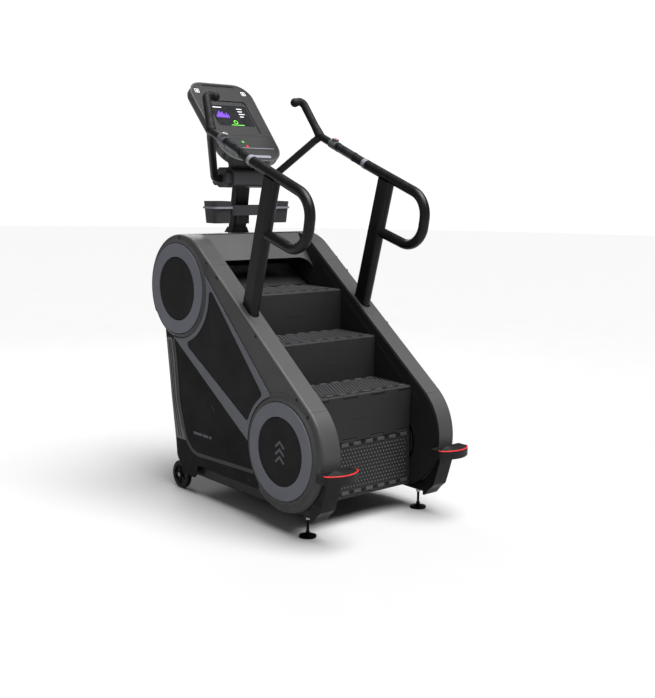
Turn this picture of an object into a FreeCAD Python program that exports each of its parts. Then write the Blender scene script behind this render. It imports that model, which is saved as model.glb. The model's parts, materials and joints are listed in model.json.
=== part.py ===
import FreeCAD, Part
import math
import os
from FreeCAD import Vector, Rotation, Placement

# Stair climber (gym machine).  Millimetres, +Z up.
# The user stands in front (-Y), faces +Y, and climbs towards the console.  X is across the machine.
# Lengths along the machine are taken from a datum plane near the console mast, and every piece is moved
# by DATUM_TO_CENTRE when it is written, so that the origin is the bottom centre of the whole machine.

# ---- driving dimensions -------------------------------------------------------------------------
DATUM_TO_CENTRE = 528.2

STEP_GOING = 255.0            # depth of a tread, root pin to nose pin
STEP_RISE = 203.0             # height of a riser, nose pin to root pin
STEP_COUNT = 8                # steps on the endless loop
SPROCKET_R = 115.0            # pitch radius of the chain sprockets
UPPER_SHAFT = (-142.38, 909.02)
TREAD_HALF_WIDTH = 296.0
NOTCH_COUNT = 7               # hinge knuckles across a step

SKIRT_X = (299.0, 302.0)      # inner skirts beside the steps
CHAIN_X = (303.5, 309.5)
PLATE_X = (312.0, 318.0)      # steel side plates
RAIL_X = 343.0                # handrails, base rails and feet
COVER_X = (303.0, 403.0)      # side covers
BAND_X = 408.0                # face of the light band
RING_X = 418.0                # face of the disc rings
REAR_PANEL_X = (391.0, 395.0)

UPPER_DISC = (-80.0, 1015.0)
LOWER_DISC = (-899.0, 370.0)
UPPER_OUTLINE = (-86.0, 1013.0, 265.0)
LOWER_OUTLINE = (-899.0, 370.0, 276.0)
DISC_CAP_R = 153.0
RING_R = (155.0, 219.0)
RIM_R = 222.0
RIM_REACH = (242.0, 246.0)     # foot of the raised rim round the upper and lower disc
RIM_HEIGHT = 11.0
RIM_LEAN = 14.0                # how much narrower the rim is at its top
END_COVER_REACH = (250.0, 261.0)
SHELL = 4.0                   # wall of the moulded covers

BASE_RAIL_Z = (90.0, 157.0)
WHEEL_AXIS = (-42.0, 70.0)
WHEEL_R = 70.0
FOOT_Y = -1011.0

TUBE_R = 24.0                 # P-loop handrail tube
HANDLE_R = 17.0               # upper handle tube, inside its sleeves
ARM_R = 19.0                  # arm and fork
HORN_R = 20.0
TUBE_WALL = 3.0

CONSOLE_TILT = 48.0           # degrees from level
CONSOLE_TOP = (184.0, 2028.0)
CONSOLE_LENGTH = 530.0
CONSOLE_DEPTH = 52.0

BIG = 4000.0

# ---- plain geometry helpers ---------------------------------------------------------------------
EX = Vector(1, 0, 0)
EY = Vector(0, 1, 0)
EZ = Vector(0, 0, 1)


def path_edges(points, radii, closed):
    """Straight runs through points, with a tangent arc of the given radius at each corner."""
    count = len(points)
    starts = []
    arcs = []
    for i, corner in enumerate(points):
        radius = radii[i]
        at_end = not closed and i in (0, count - 1)
        if at_end or radius == 0:
            starts.append((corner, corner))
            arcs.append(None)
            continue
        back = (points[i - 1] - corner).normalize()
        ahead = (points[(i + 1) % count] - corner).normalize()
        half = back.getAngle(ahead) / 2.0
        reach = radius / math.tan(half)
        middle = (back + ahead).normalize()
        centre = corner + middle * (radius / math.sin(half))
        first = corner + back * reach
        last = corner + ahead * reach
        starts.append((first, last))
        arcs.append(Part.Arc(first, centre - middle * radius, last).toShape())
    edges = []
    for i in range(count):
        if arcs[i] is not None:
            edges.append(arcs[i])
        if i == count - 1 and not closed:
            continue
        here = starts[i][1]
        there = starts[(i + 1) % count][0]
        if here.distanceToPoint(there) > 1e-6:
            edges.append(Part.LineSegment(here, there).toShape())
    return edges


def prism_x(outline, x0, x1):
    """Extrude a closed outline of (y, z) or (y, z, corner radius) from x0 to x1."""
    points = [Vector(x0, p[0], p[1]) for p in outline]
    radii = [p[2] if len(p) > 2 else 0 for p in outline]
    wire = Part.Wire(path_edges(points, radii, True))
    return Part.Face(wire).extrude(Vector(x1 - x0, 0, 0))


def prism_z(outline, z0, z1):
    """Extrude a closed outline of (x, y) or (x, y, corner radius) from z0 to z1."""
    points = [Vector(p[0], p[1], z0) for p in outline]
    radii = [p[2] if len(p) > 2 else 0 for p in outline]
    wire = Part.Wire(path_edges(points, radii, True))
    return Part.Face(wire).extrude(Vector(0, 0, z1 - z0))


def box(x0, x1, y0, y1, z0, z1):
    return Part.makeBox(x1 - x0, y1 - y0, z1 - z0, Vector(x0, y0, z0))


def cylinder_x(centre, radius, x0, x1):
    return Part.makeCylinder(radius, x1 - x0, Vector(x0, centre[0], centre[1]), EX)


def ring_x(centre, r_in, r_out, x0, x1):
    return cylinder_x(centre, r_out, x0, x1).cut(cylinder_x(centre, r_in, x0, x1))


def belt_x(a, ra, b, rb, x0, x1):
    """The shape of a crossed-free belt round two circles, extruded along X."""
    a3 = Vector(x0, a[0], a[1])
    b3 = Vector(x0, b[0], b[1])
    along = b3 - a3
    span = along.Length
    along.normalize()
    across = EX.cross(along)
    lean = math.asin((ra - rb) / span)
    side = across * math.cos(lean) + along * math.sin(lean)
    other = across * -math.cos(lean) + along * math.sin(lean)
    a1 = a3 + side * ra
    a2 = a3 + other * ra
    b1 = b3 + side * rb
    b2 = b3 + other * rb
    wire = Part.Wire([
        Part.LineSegment(a1, b1).toShape(),
        Part.Arc(b1, b3 + along * rb, b2).toShape(),
        Part.LineSegment(b2, a2).toShape(),
        Part.Arc(a2, a3 - along * ra, a1).toShape(),
    ])
    return Part.Face(wire).extrude(Vector(x1 - x0, 0, 0))


def sweep(points, radii, r_out, r_in=0.0):
    """A round bar or tube along straight runs and tangent arcs."""
    path = Part.Wire(path_edges(points, radii, False))
    direction = points[1] - points[0]

    def pipe(radius):
        section = Part.Wire(Part.makeCircle(radius, points[0], direction))
        return path.makePipeShell([section], True, False)

    solid = pipe(r_out)
    if r_in:
        solid = solid.cut(pipe(r_in))
    return solid


def mirrored(shape):
    return shape.mirror(Vector(0, 0, 0), EX)


def both_sides(shape):
    return Part.makeCompound([shape, mirrored(shape)])


def half_space(point, normal):
    """Everything on the side that the normal points to."""
    block = Part.makeBox(BIG, BIG, BIG, Vector(-BIG / 2, -BIG / 2, 0))
    block.Placement = Placement(point, Rotation(EZ, normal)).multiply(block.Placement)
    return block


def fuse(shapes):
    whole = shapes[0].multiFuse(shapes[1:])
    return whole.removeSplitter()


def biggest(shape):
    return max(shape.Solids, key=lambda s: s.Volume)


# ---- the endless flight of steps ----------------------------------------------------------------
PITCH = math.hypot(STEP_GOING, STEP_RISE)
DOWN = (-STEP_GOING / PITCH, -STEP_RISE / PITCH)       # along the front run, downwards
OUT = (-STEP_RISE / PITCH, STEP_GOING / PITCH)         # square to it, towards the user
RUN = (STEP_COUNT * PITCH - 2 * math.pi * SPROCKET_R) / 2
LOWER_SHAFT = (UPPER_SHAFT[0] + DOWN[0] * RUN, UPPER_SHAFT[1] + DOWN[1] * RUN)
OUT_ANGLE = math.atan2(OUT[1], OUT[0])

ROOT_ROD_R = 6.0
NOSE_ROD_R = 4.0
KNUCKLE_R = 10.0
KNUCKLE_PLAY = 2.5            # radial room beside an opened hinge
HINGE_PLAY = 0.3
ROOT_PLAY = 1.2               # room between the two leaves at a root pin
PANEL_FRONT = 10.0            # walking face above the pin line
PANEL_BACK = -2.0
OPEN_NOSES = (3, 4, 7, 8)     # noses where the loop of links is opened


def on_loop(travel):
    """Place of a chain pin, measured from the top of the front run."""
    if travel < 0:
        angle = OUT_ANGLE + travel / SPROCKET_R
        centre = UPPER_SHAFT
    elif travel <= RUN:
        return (UPPER_SHAFT[0] + OUT[0] * SPROCKET_R + DOWN[0] * travel,
                UPPER_SHAFT[1] + OUT[1] * SPROCKET_R + DOWN[1] * travel)
    elif travel <= RUN + math.pi * SPROCKET_R:
        angle = OUT_ANGLE + (travel - RUN) / SPROCKET_R
        centre = LOWER_SHAFT
    elif travel <= 2 * RUN + math.pi * SPROCKET_R:
        back = travel - RUN - math.pi * SPROCKET_R
        return (LOWER_SHAFT[0] - OUT[0] * SPROCKET_R - DOWN[0] * back,
                LOWER_SHAFT[1] - OUT[1] * SPROCKET_R - DOWN[1] * back)
    else:
        angle = OUT_ANGLE + math.pi + (travel - 2 * RUN - math.pi * SPROCKET_R) / SPROCKET_R
        centre = UPPER_SHAFT
    return (centre[0] + SPROCKET_R * math.cos(angle), centre[1] + SPROCKET_R * math.sin(angle))


def root(k, travel=0.0):
    """Root pin of step k (k and k + STEP_COUNT are the same pin)."""
    return on_loop(((k % STEP_COUNT) * PITCH + travel) % (STEP_COUNT * PITCH))


def nose(k, travel=0.0):
    """Nose pin of step k, a going from the root above it and a rise from its own root."""
    a = root(k - 1, travel)
    b = root(k, travel)
    dy = b[0] - a[0]
    dz = b[1] - a[1]
    gap = math.hypot(dy, dz)
    turn = math.acos((STEP_GOING ** 2 + gap ** 2 - STEP_RISE ** 2) / (2 * STEP_GOING * gap))
    angle = math.atan2(dz, dy) - turn
    return (a[0] + STEP_GOING * math.cos(angle), a[1] + STEP_GOING * math.sin(angle))


def knuckle_slots(parity):
    """The hinge knuckles that belong to the other leaf, as (x0, x1) strips."""
    width = 2 * TREAD_HALF_WIDTH / NOTCH_COUNT
    strips = []
    for i in range(NOTCH_COUNT):
        if i % 2 == parity:
            x0 = -TREAD_HALF_WIDTH + i * width
            low = x0 - (1.0 if i else 5.0)
            high = x0 + width + (1.0 if i < NOTCH_COUNT - 1 else 5.0)
            strips.append((low, high))
    return strips


def leaf(length, nose_at, nose_parity, nose_play, root_parity):
    """A tread or riser drawn along +Y: a panel with hinge knuckles cut alternately at both ends."""
    root_at = length - nose_at
    w = TREAD_HALF_WIDTH
    panel = box(-w, w, 0, length, PANEL_BACK, PANEL_FRONT)
    body = fuse([panel, cylinder_x((0, 0), KNUCKLE_R, -w, w), cylinder_x((length, 0), KNUCKLE_R, -w, w)])
    for x0, x1 in knuckle_slots(nose_parity):
        body = body.cut(cylinder_x((nose_at, 0), KNUCKLE_R + nose_play, x0, x1))
    reach = PANEL_FRONT + ROOT_PLAY
    for x0, x1 in knuckle_slots(root_parity):
        body = body.cut(box(x0, x1, root_at - reach, root_at + reach, -reach, reach))
    return body


def placed(body, start, end):
    """Turn a leaf drawn along +Y to lie from pin to pin, walking face outwards."""
    angle = math.degrees(math.atan2(end[1] - start[1], end[0] - start[0]))
    shape = body.mirror(Vector(0, 0, 0), EZ)
    shape.rotate(Vector(0, 0, 0), EX, angle)
    shape.translate(Vector(0, start[0], start[1]))
    return shape


def tread(k):
    """Tread k hangs from root pin k - 1 and carries the nose rod of step k."""
    play = KNUCKLE_PLAY if k in OPEN_NOSES else HINGE_PLAY
    body = leaf(STEP_GOING, STEP_GOING, 1, play, 1)
    w = TREAD_HALF_WIDTH
    body = body.cut(cylinder_x((0, 0), ROOT_ROD_R + HINGE_PLAY, -w, w))
    body = body.fuse(cylinder_x((STEP_GOING, 0), NOSE_ROD_R, -w + 4, w - 4))
    return placed(body, root(k - 1), nose(k))


def riser(k):
    """Riser k hangs from the nose rod of step k and stands on root pin k."""
    play = KNUCKLE_PLAY if k in OPEN_NOSES else HINGE_PLAY
    body = leaf(STEP_RISE, 0.0, 0, play, 0)
    w = TREAD_HALF_WIDTH
    body = body.cut(cylinder_x((0, 0), NOSE_ROD_R + play, -w, w))
    body = body.cut(cylinder_x((STEP_RISE, 0), ROOT_ROD_R + HINGE_PLAY, -w, w))
    return placed(body, nose(k), root(k))


def root_rods(numbers):
    rods = [cylinder_x(root(k), ROOT_ROD_R, -SKIRT_X[1], SKIRT_X[1]) for k in numbers]
    return Part.makeCompound(rods) if len(rods) > 1 else rods[0]


# ---- drive -------------------------------------------------------------------------------------
SHAFT_R = 12.5
BEARING_R = 24.0
CHAIN_HALF = 6.0
PULLEY_R = 85.0
ROTOR_R = 25.0
BELT_X = (210.0, 230.0)
BELT_THICK = 4.0
ALTERNATOR = (UPPER_SHAFT[0] + DOWN[0] * 260, UPPER_SHAFT[1] + DOWN[1] * 260)
MID_BEAM = (UPPER_SHAFT[0] + DOWN[0] * 400, UPPER_SHAFT[1] + DOWN[1] * 400)


def sprocket_shaft(centre):
    """A steel shaft with a sprocket near each end."""
    shaft = cylinder_x(centre, SHAFT_R, -PLATE_X[1], PLATE_X[1])
    wheel = cylinder_x(centre, SPROCKET_R - CHAIN_HALF - 0.6, CHAIN_X[0] + 0.5, CHAIN_X[1] - 0.5)
    for i in range(6):
        angle = math.radians(60 * i + 30)
        hole = (centre[0] + 62 * math.cos(angle), centre[1] + 62 * math.sin(angle))
        wheel = wheel.cut(cylinder_x(hole, 22.0, CHAIN_X[0], CHAIN_X[1]))
    return fuse([shaft, wheel, mirrored(wheel)])


def chain():
    outer = belt_x(UPPER_SHAFT, SPROCKET_R + CHAIN_HALF, LOWER_SHAFT, SPROCKET_R + CHAIN_HALF, *CHAIN_X)
    inner = belt_x(UPPER_SHAFT, SPROCKET_R - CHAIN_HALF, LOWER_SHAFT, SPROCKET_R - CHAIN_HALF, *CHAIN_X)
    return outer.cut(inner)


def bearings():
    rings = []
    for centre in (UPPER_SHAFT, LOWER_SHAFT):
        ring = ring_x(centre, SHAFT_R + 0.06, BEARING_R, *PLATE_X)
        rings += [ring, mirrored(ring)]
    return Part.makeCompound(rings)


def drive_pulley():
    rim = ring_x(UPPER_SHAFT, SHAFT_R, PULLEY_R, *BELT_X)
    return rim.cut(ring_x(UPPER_SHAFT, 35.0, PULLEY_R - 14, BELT_X[0], BELT_X[0] + 7))


def drive_belt():
    outer = belt_x(UPPER_SHAFT, PULLEY_R + BELT_THICK, ALTERNATOR, ROTOR_R + BELT_THICK, *BELT_X)
    inner = belt_x(UPPER_SHAFT, PULLEY_R + 0.5, ALTERNATOR, ROTOR_R + 0.5, *BELT_X)
    return outer.cut(inner)


def alternator_rotor():
    pulley = cylinder_x(ALTERNATOR, ROTOR_R, *BELT_X)
    spindle = cylinder_x(ALTERNATOR, 8.0, BELT_X[0] - 20, BELT_X[0])
    return fuse([pulley, spindle])


def alternator():
    """The brake generator, with the foot that bolts it to the middle beam."""
    can = cylinder_x(ALTERNATOR, 62.0, 70.0, BELT_X[0] - 4)
    can = can.cut(cylinder_x(ALTERNATOR, 8.3, BELT_X[0] - 22, BELT_X[0]))
    foot = box(90, 180, 0, 110, -8, 8)
    foot.rotate(Vector(0, 0, 0), EX, math.degrees(math.atan2(DOWN[1], DOWN[0])))
    foot.translate(Vector(0, ALTERNATOR[0], ALTERNATOR[1]))
    foot = foot.cut(middle_beam())
    return biggest(fuse([can, foot]).cut(cylinder_x(ALTERNATOR, 8.3, BELT_X[0] - 22, BELT_X[0])))


def middle_beam():
    beam = box(-PLATE_X[0], PLATE_X[0], -25, 25, -25, 25)
    beam.rotate(Vector(0, 0, 0), EX, math.degrees(math.atan2(DOWN[1], DOWN[0])))
    beam.translate(Vector(0, MID_BEAM[0], MID_BEAM[1]))
    return beam


# ---- steel frame --------------------------------------------------------------------------------
BEAM_TOP = (0.0, 1200.0)      # upper cross beam, which carries the mast


def rounded_bar_x(x0, x1, y, z, half_y, half_z, radius, wall):
    def bar(hy, hz, r):
        corners = [(y - hy, z - hz, r), (y + hy, z - hz, r), (y + hy, z + hz, r), (y - hy, z + hz, r)]
        return prism_x(corners, x0, x1)
    return bar(half_y, half_z, radius).cut(bar(half_y - wall, half_z - wall, radius - wall))


RAIL_FRONT = -1078.0
RAIL_REAR = -145.0
CROSS_Y = (-380.0, -172.0)    # base cross members
LUG_X = (320.0, 350.0)


def base_frame():
    """Two long base rails joined by two cross members, with wheel lugs and foot bosses."""
    low, high = BASE_RAIL_Z
    mid = (low + high) / 2
    half = (high - low) / 2

    def rail(grow):
        corners = [(-half - grow, -25 - grow), (half + grow, -25 - grow),
                   (half + grow, 25 + grow), (-half - grow, 25 + grow)]
        outline = [(RAIL_X + c[1], mid + c[0]) for c in corners]
        points = [Vector(p[0], RAIL_FRONT, p[1]) for p in outline]
        wire = Part.Wire(path_edges(points, [20 + grow] * 4, True))
        return Part.Face(wire).extrude(Vector(0, RAIL_REAR - RAIL_FRONT, 0))

    tube = rail(0).cut(rail(-TUBE_WALL))
    boss = Part.makeCylinder(12, TUBE_WALL + 1, Vector(RAIL_X, FOOT_Y, low), EZ)
    bore = Part.makeCylinder(6.6, 30, Vector(RAIL_X, FOOT_Y, low - 10), EZ)
    tube = tube.fuse(boss).cut(bore)
    lug = prism_x([(RAIL_REAR - 22, 96), (WHEEL_AXIS[0] - 18, 50, 14), (WHEEL_AXIS[0] + 20, 48, 18),
                   (WHEEL_AXIS[0] + 22, 140, 14), (RAIL_REAR - 22, 152)], *LUG_X)
    lug = lug.cut(cylinder_x(WHEEL_AXIS, 6.0, *LUG_X))
    rails = [tube.fuse(lug)]
    rails.append(mirrored(rails[0]))
    inner = RAIL_X - 25 + 0.01
    cross = []
    for y in CROSS_Y:
        cross.append(box(-inner, inner, y - 25, y + 25, mid - 25, mid + 25))
    hollow = [box(-inner, inner, y - 22, y + 22, mid - 22, mid + 22) for y in CROSS_Y]
    whole = fuse(rails + cross)
    for h in hollow:
        whole = whole.cut(h)
    return whole


PLATE_FOOT = 149.5


def side_plate():
    """A thick steel plate that joins both shafts to the base rail and to the upper cross beam."""
    outline = [
        (LOWER_SHAFT[0] - 52, PLATE_FOOT, 8), (-70, PLATE_FOOT, 8),
        (BEAM_TOP[0] + 40, 1010, 40), (BEAM_TOP[0] + 32, BEAM_TOP[1] + 32, 12),
        (BEAM_TOP[0] - 42, BEAM_TOP[1] + 32, 12), (UPPER_SHAFT[0] - 110, UPPER_SHAFT[1] + 80, 40),
        (LOWER_SHAFT[0] - 52, LOWER_SHAFT[1] + 40, 30),
    ]
    plate = prism_x(outline, *PLATE_X)
    for centre in (UPPER_SHAFT, LOWER_SHAFT):
        plate = plate.cut(cylinder_x(centre, BEARING_R + 0.1, *PLATE_X))
    return plate


def side_plates():
    beam = rounded_bar_x(-PLATE_X[0], PLATE_X[0], BEAM_TOP[0], BEAM_TOP[1], 25, 25, 6, 3)
    plate = side_plate()
    return fuse([plate, mirrored(plate), beam, middle_beam()])


# ---- handrails ----------------------------------------------------------------------------------
LOOP = [(-601.0, 1622.0), (-1014.0, 1466.0), (-976.0, 1221.0), (-708.0, 1303.0)]
LOOP_BENDS = [0, 115.0, 105.0, 0]
POST_FOOT = (-566.0, 865.0)
POST_TOP = (-748.0, 1562.0)
POST_HALF = (25.0, 43.0)      # across and along the machine
FORK = Vector(334, -262, 1763)


def post(grow=0.0):
    """The leaning post: a flattened tube, flat at the sides and round to the front."""
    foot = Vector(RAIL_X, POST_FOOT[0], POST_FOOT[1])
    top = Vector(RAIL_X, POST_TOP[0], POST_TOP[1])
    lean = math.degrees(math.atan2(POST_FOOT[0] - POST_TOP[0], POST_TOP[1] - POST_FOOT[1]))
    hx = POST_HALF[0] + grow
    hy = POST_HALF[1] + grow
    front = hx - 0.5
    back = 10.0 + grow
    outline = [(-hx, -hy, front), (hx, -hy, front), (hx, hy, back), (-hx, hy, back)]
    solid = prism_z(outline, 0, (top - foot).Length)
    solid.rotate(Vector(0, 0, 0), EX, lean)
    solid.translate(foot)
    return solid


def handrail():
    """The P-shaped handrail: post and looped tube, welded together."""
    points = [Vector(RAIL_X, p[0], p[1]) for p in LOOP]
    outer = sweep(points, LOOP_BENDS, TUBE_R)
    bore = sweep(points, LOOP_BENDS, TUBE_R - TUBE_WALL)
    core = post(-TUBE_WALL)
    below = half_space(points[0] + Vector(0, 0, -TUBE_R * 0.8), Vector(0, 0.355, -0.935))
    stem = post().common(below)
    tube = outer.cut(bore)
    stem = stem.cut(core)
    stem = stem.cut(outer)
    return biggest(tube.fuse(stem))


HANDLE_START = Vector(RAIL_X, -640, 1607.3)
GRIP_START = 24.0
SENSOR = (92.0, 138.0)        # start and length of the pulse sensor
HOUSING = (232.0, 50.0)       # start and length of the button housing
ARM_START = Vector(318, -232, 1742)
ARM_BEND = Vector(172, -50, 1545)
ARM_END = Vector(118, -50, 1545)


def along_handle(distance):
    """A point on the upper handle, measured from the mouth of the loop tube."""
    mouth = Vector(RAIL_X, LOOP[0][0], LOOP[0][1])
    way = (FORK - mouth).normalize()
    return mouth + way * distance


def upper_handle():
    """The handle tube from the loop tube to the fork, and the thinner arm from there to the pod."""
    mouth = Vector(RAIL_X, LOOP[0][0], LOOP[0][1])
    grip = sweep([along_handle(0.5), FORK], [0, 0], HANDLE_R)
    neck = sweep([along_handle(HOUSING[0] + HOUSING[1] + 2), FORK], [0, 0], ARM_R)
    arm = sweep([FORK, ARM_START, ARM_BEND, ARM_END], [0, 24, 34, 0], ARM_R)
    knot = Part.makeSphere(ARM_R + 1.5, FORK)
    plug = sweep([mouth, HANDLE_START], [0, 0], TUBE_R - TUBE_WALL - 0.4)
    return biggest(fuse([grip, neck, arm, knot, plug]))


HORN = [Vector(332, -258, 1766), Vector(294, -158, 1942), Vector(240, -162, 1930)]


def horn():
    """The raised horn grip with its inward knob."""
    shaft = sweep(HORN, [0, 28, 0], HORN_R)
    inward = (HORN[2] - HORN[1]).normalize()
    knob = Part.makeSphere(HORN_R + 3, HORN[2] - inward * 4, inward)
    base = Part.makeCone(HORN_R + 4, HORN_R, 60, HORN[0], HORN[1] - HORN[0])
    solid = fuse([shaft, knob, base])
    return biggest(solid.cut(upper_handle()))


def sleeve(start, length, radius):
    way = (FORK - along_handle(0)).normalize()
    tube = Part.makeCylinder(radius, length, along_handle(start), way)
    return tube.cut(Part.makeCylinder(HANDLE_R + 0.1, length, along_handle(start), way))


def grip_sleeve():
    """The rubber sleeve between the loop tube and the pulse sensor."""
    return sleeve(GRIP_START, SENSOR[0] - GRIP_START - 0.5, 22.0)


def pulse_sensor():
    """Two half shells of a hand pulse sensor with a ring at each end."""
    shell = sleeve(SENSOR[0] + 12, SENSOR[1] - 24, 21.0)
    first = sleeve(SENSOR[0], 11.8, 23.5)
    last = sleeve(SENSOR[0] + SENSOR[1] - 11.8, 11.8, 23.5)
    return fuse([shell, first, last])


def handle_frame(distance):
    """Position on the handle, its direction, and the direction that faces up from it."""
    way = (FORK - along_handle(0)).normalize()
    up = (EZ - way * EZ.dot(way)).normalize()
    return along_handle(distance), way, up


def button_housing():
    """The moulded housing round the handle, with a well for its button."""
    at, way, up = handle_frame(HOUSING[0])
    body = Part.makeCylinder(23.0, HOUSING[1], at, way)
    pad = Part.makeCylinder(17.0, 30.0, at + way * 25, up)
    body = fuse([body, pad])
    well = Part.makeCylinder(12.4, 12.0, at + way * 25 + up * 20, up)
    return body.cut(well).cut(Part.makeCylinder(HANDLE_R + 0.1, HOUSING[1] + 20, at - way * 5, way))


def handle_button():
    at, way, up = handle_frame(HOUSING[0])
    cap = Part.makeCylinder(12.0, 8.5, at + way * 25 + up * 24, up)
    return cap


# ---- side covers --------------------------------------------------------------------------------
BAND_TOP = [(-250.0, 1150.0), (-880.0, 543.0)]
BAND_LOW = [(20.0, 812.0), (-690.0, 346.0)]
CENTRE_TOP = [(-300.0, 1099.0), (-800.0, 561.0)]
CENTRE_LOW = [(-90.0, 781.0), (-660.0, 450.0)]
CENTRE_GAP_R = (263.0, 263.0)
UPPER_SEAM = ((-370.0, 1159.0), (0.88, -0.47))
LOWER_SEAM = ((-1102.0, 583.0), (0.88, -0.47))


def outline_belt(inset, x0, x1):
    upper = UPPER_OUTLINE
    lower = LOWER_OUTLINE
    return belt_x(upper[:2], upper[2] - inset, lower[:2], lower[2] - inset, x0, x1)


def rear_region(grow, x0, x1):
    """The lower rear corner of the side, below the light band and outside both discs."""
    region = prism_x([(BAND_LOW[0][0] + 400, BAND_LOW[0][1] + 262), BAND_LOW[1], (-760, 60), (400, 60)], x0, x1)
    region = region.cut(cylinder_x(UPPER_DISC, RIM_REACH[0] + 1.5 + grow, x0, x1))
    return region.cut(cylinder_x(LOWER_DISC, RIM_REACH[1] + 1.5 + grow, x0, x1))


def edges_at_x(shape, x):
    return [e for e in shape.Edges if abs(e.BoundBox.XMin - x) < 1e-3 and abs(e.BoundBox.XMax - x) < 1e-3]


def whole_side_shell():
    """One side's charcoal shell before it is parted at its seams."""
    outer = outline_belt(0, *COVER_X)
    outer = outer.makeFillet(14.0, edges_at_x(outer, COVER_X[1]))
    inner = outline_belt(SHELL, COVER_X[0] - 1, COVER_X[1] - SHELL)
    inner = inner.makeFillet(14.0 - SHELL, edges_at_x(inner, COVER_X[1] - SHELL))
    shell = outer.cut(inner)
    for disc, reach in zip((UPPER_DISC, LOWER_DISC), RIM_REACH):
        rim = Part.makeCone(reach, reach - RIM_LEAN, RIM_HEIGHT, Vector(COVER_X[1] - 1, disc[0], disc[1]), EX)
        rim = rim.cut(cylinder_x(disc, RIM_R, COVER_X[1] - 1, COVER_X[1] + 20))
        shell = shell.fuse(rim)
    shell = shell.cut(rear_region(0, COVER_X[0] - 1, RING_X + 10))
    shell = shell.cut(post(3.0))
    rail = box(COVER_X[0] - 1, RAIL_X + 26.5, RAIL_FRONT - 1, RAIL_REAR, 0, BASE_RAIL_Z[1] + 1.5)
    return shell.cut(rail).removeSplitter()


def end_zone(seam, disc, reach, above, gap):
    """The space of an end cover: beyond its seam, and everything round its disc."""
    point = Vector(0, seam[0][0], seam[0][1])
    normal = Vector(0, -seam[1][1], seam[1][0])
    if not above:
        normal = normal * -1
    beyond = half_space(point - normal * gap, normal)
    return beyond.fuse(cylinder_x(disc, reach + gap, COVER_X[0] - 10, RING_X + 10))


def side_covers():
    """The upper, rail and lower covers of the right side, parted at the two seams."""
    shell = whole_side_shell()
    upper_zone = (UPPER_SEAM, UPPER_DISC, END_COVER_REACH[0], True)
    lower_zone = (LOWER_SEAM, LOWER_DISC, END_COVER_REACH[1], False)
    upper = shell.common(end_zone(*upper_zone, 0.0))
    lower = shell.common(end_zone(*lower_zone, 0.0))
    rail = shell.cut(end_zone(*upper_zone, 1.0)).cut(end_zone(*lower_zone, 1.0))
    rail = biggest(rail).fuse(escutcheon()).removeSplitter()
    return biggest(upper), biggest(rail), biggest(lower)


def light_band():
    quad = prism_x([BAND_TOP[0], BAND_TOP[1], BAND_LOW[1], BAND_LOW[0]], COVER_X[1], BAND_X)
    for disc, reach in zip((UPPER_DISC, LOWER_DISC), RIM_REACH):
        quad = quad.cut(cylinder_x(disc, reach + 0.5, COVER_X[1], BAND_X))
    return biggest(quad.cut(centre_shape(0, COVER_X[1], BAND_X)))


def centre_shape(inset, x0, x1):
    quad = prism_x([CENTRE_TOP[0], CENTRE_TOP[1], CENTRE_LOW[1], CENTRE_LOW[0]], x0, x1)
    if inset:
        quad = prism_x([
            (CENTRE_TOP[0][0], CENTRE_TOP[0][1] - inset * 1.4), (CENTRE_TOP[1][0], CENTRE_TOP[1][1] - inset * 1.4),
            (CENTRE_LOW[1][0], CENTRE_LOW[1][1] + inset * 1.2), (CENTRE_LOW[0][0], CENTRE_LOW[0][1] + inset * 1.2),
        ], x0, x1)
    quad = quad.cut(cylinder_x(UPPER_DISC, CENTRE_GAP_R[0] + inset, x0, x1))
    quad = quad.cut(cylinder_x(LOWER_DISC, CENTRE_GAP_R[1] + inset, x0, x1))
    corners = [e for e in quad.Edges if e.BoundBox.XLength > 1 and e.BoundBox.YLength < 1e-3]
    return quad.makeFillet(19.0, corners)


def disc_ring(disc):
    ring = ring_x(disc, RING_R[0], RING_R[1], COVER_X[1], RING_X)
    return ring.makeFillet(2.5, edges_at_x(ring, RING_X))


def disc_cap(disc):
    cap = cylinder_x(disc, DISC_CAP_R, COVER_X[1], RING_X - 3)
    return cap.makeFillet(2.5, edges_at_x(cap, RING_X - 3))


REAR_OUTLINE = [
    (51.0, 772.0), (3.0, 448.0, 400.0), (-31.0, 262.0, 60.0), (-42.0, 172.0, 40.0), (-108.0, 96.0, 40.0),
    (-205.0, 90.0, 20.0), (-228.0, 158.0, 22.0), (-840.0, 158.0), (-900.0, 400.0), (-400.0, 700.0), (100.0, 1100.0),
]


def rear_side_panel():
    """The lower rear side panel, with a return edge down its back."""
    solid = prism_x(REAR_OUTLINE, REAR_PANEL_X[0] - 20, REAR_PANEL_X[1])
    solid = solid.common(rear_region(0.5, REAR_PANEL_X[0] - 20, REAR_PANEL_X[1]))
    pocket = prism_x([(-900, 60), (0, 60), (0, 262), (-36, 262), (-2, 448), (46, 772), (46, 1000), (-900, 1000)],
                     REAR_PANEL_X[0] - 20, REAR_PANEL_X[0])
    return biggest(solid.cut(pocket))


def inner_skirt():
    """The flat inner skirt beside the steps, open round the chain loop."""
    skirt = outline_belt(6.0, *SKIRT_X)
    around = belt_x(UPPER_SHAFT, SPROCKET_R + 17, LOWER_SHAFT, SPROCKET_R + 22, *SKIRT_X)
    skirt = skirt.cut(around)
    under = prism_x([UPPER_SHAFT, LOWER_SHAFT, (LOWER_SHAFT[0] + 60, 40), (600, 40), (600, 1000), (60, 1060)],
                    *SKIRT_X)
    window = box(SKIRT_X[0], SKIRT_X[1], BEAM_TOP[0] - 27, BEAM_TOP[0] + 27, BEAM_TOP[1] - 27, BEAM_TOP[1] + 27)
    return biggest(skirt.cut(under).cut(window))


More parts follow.
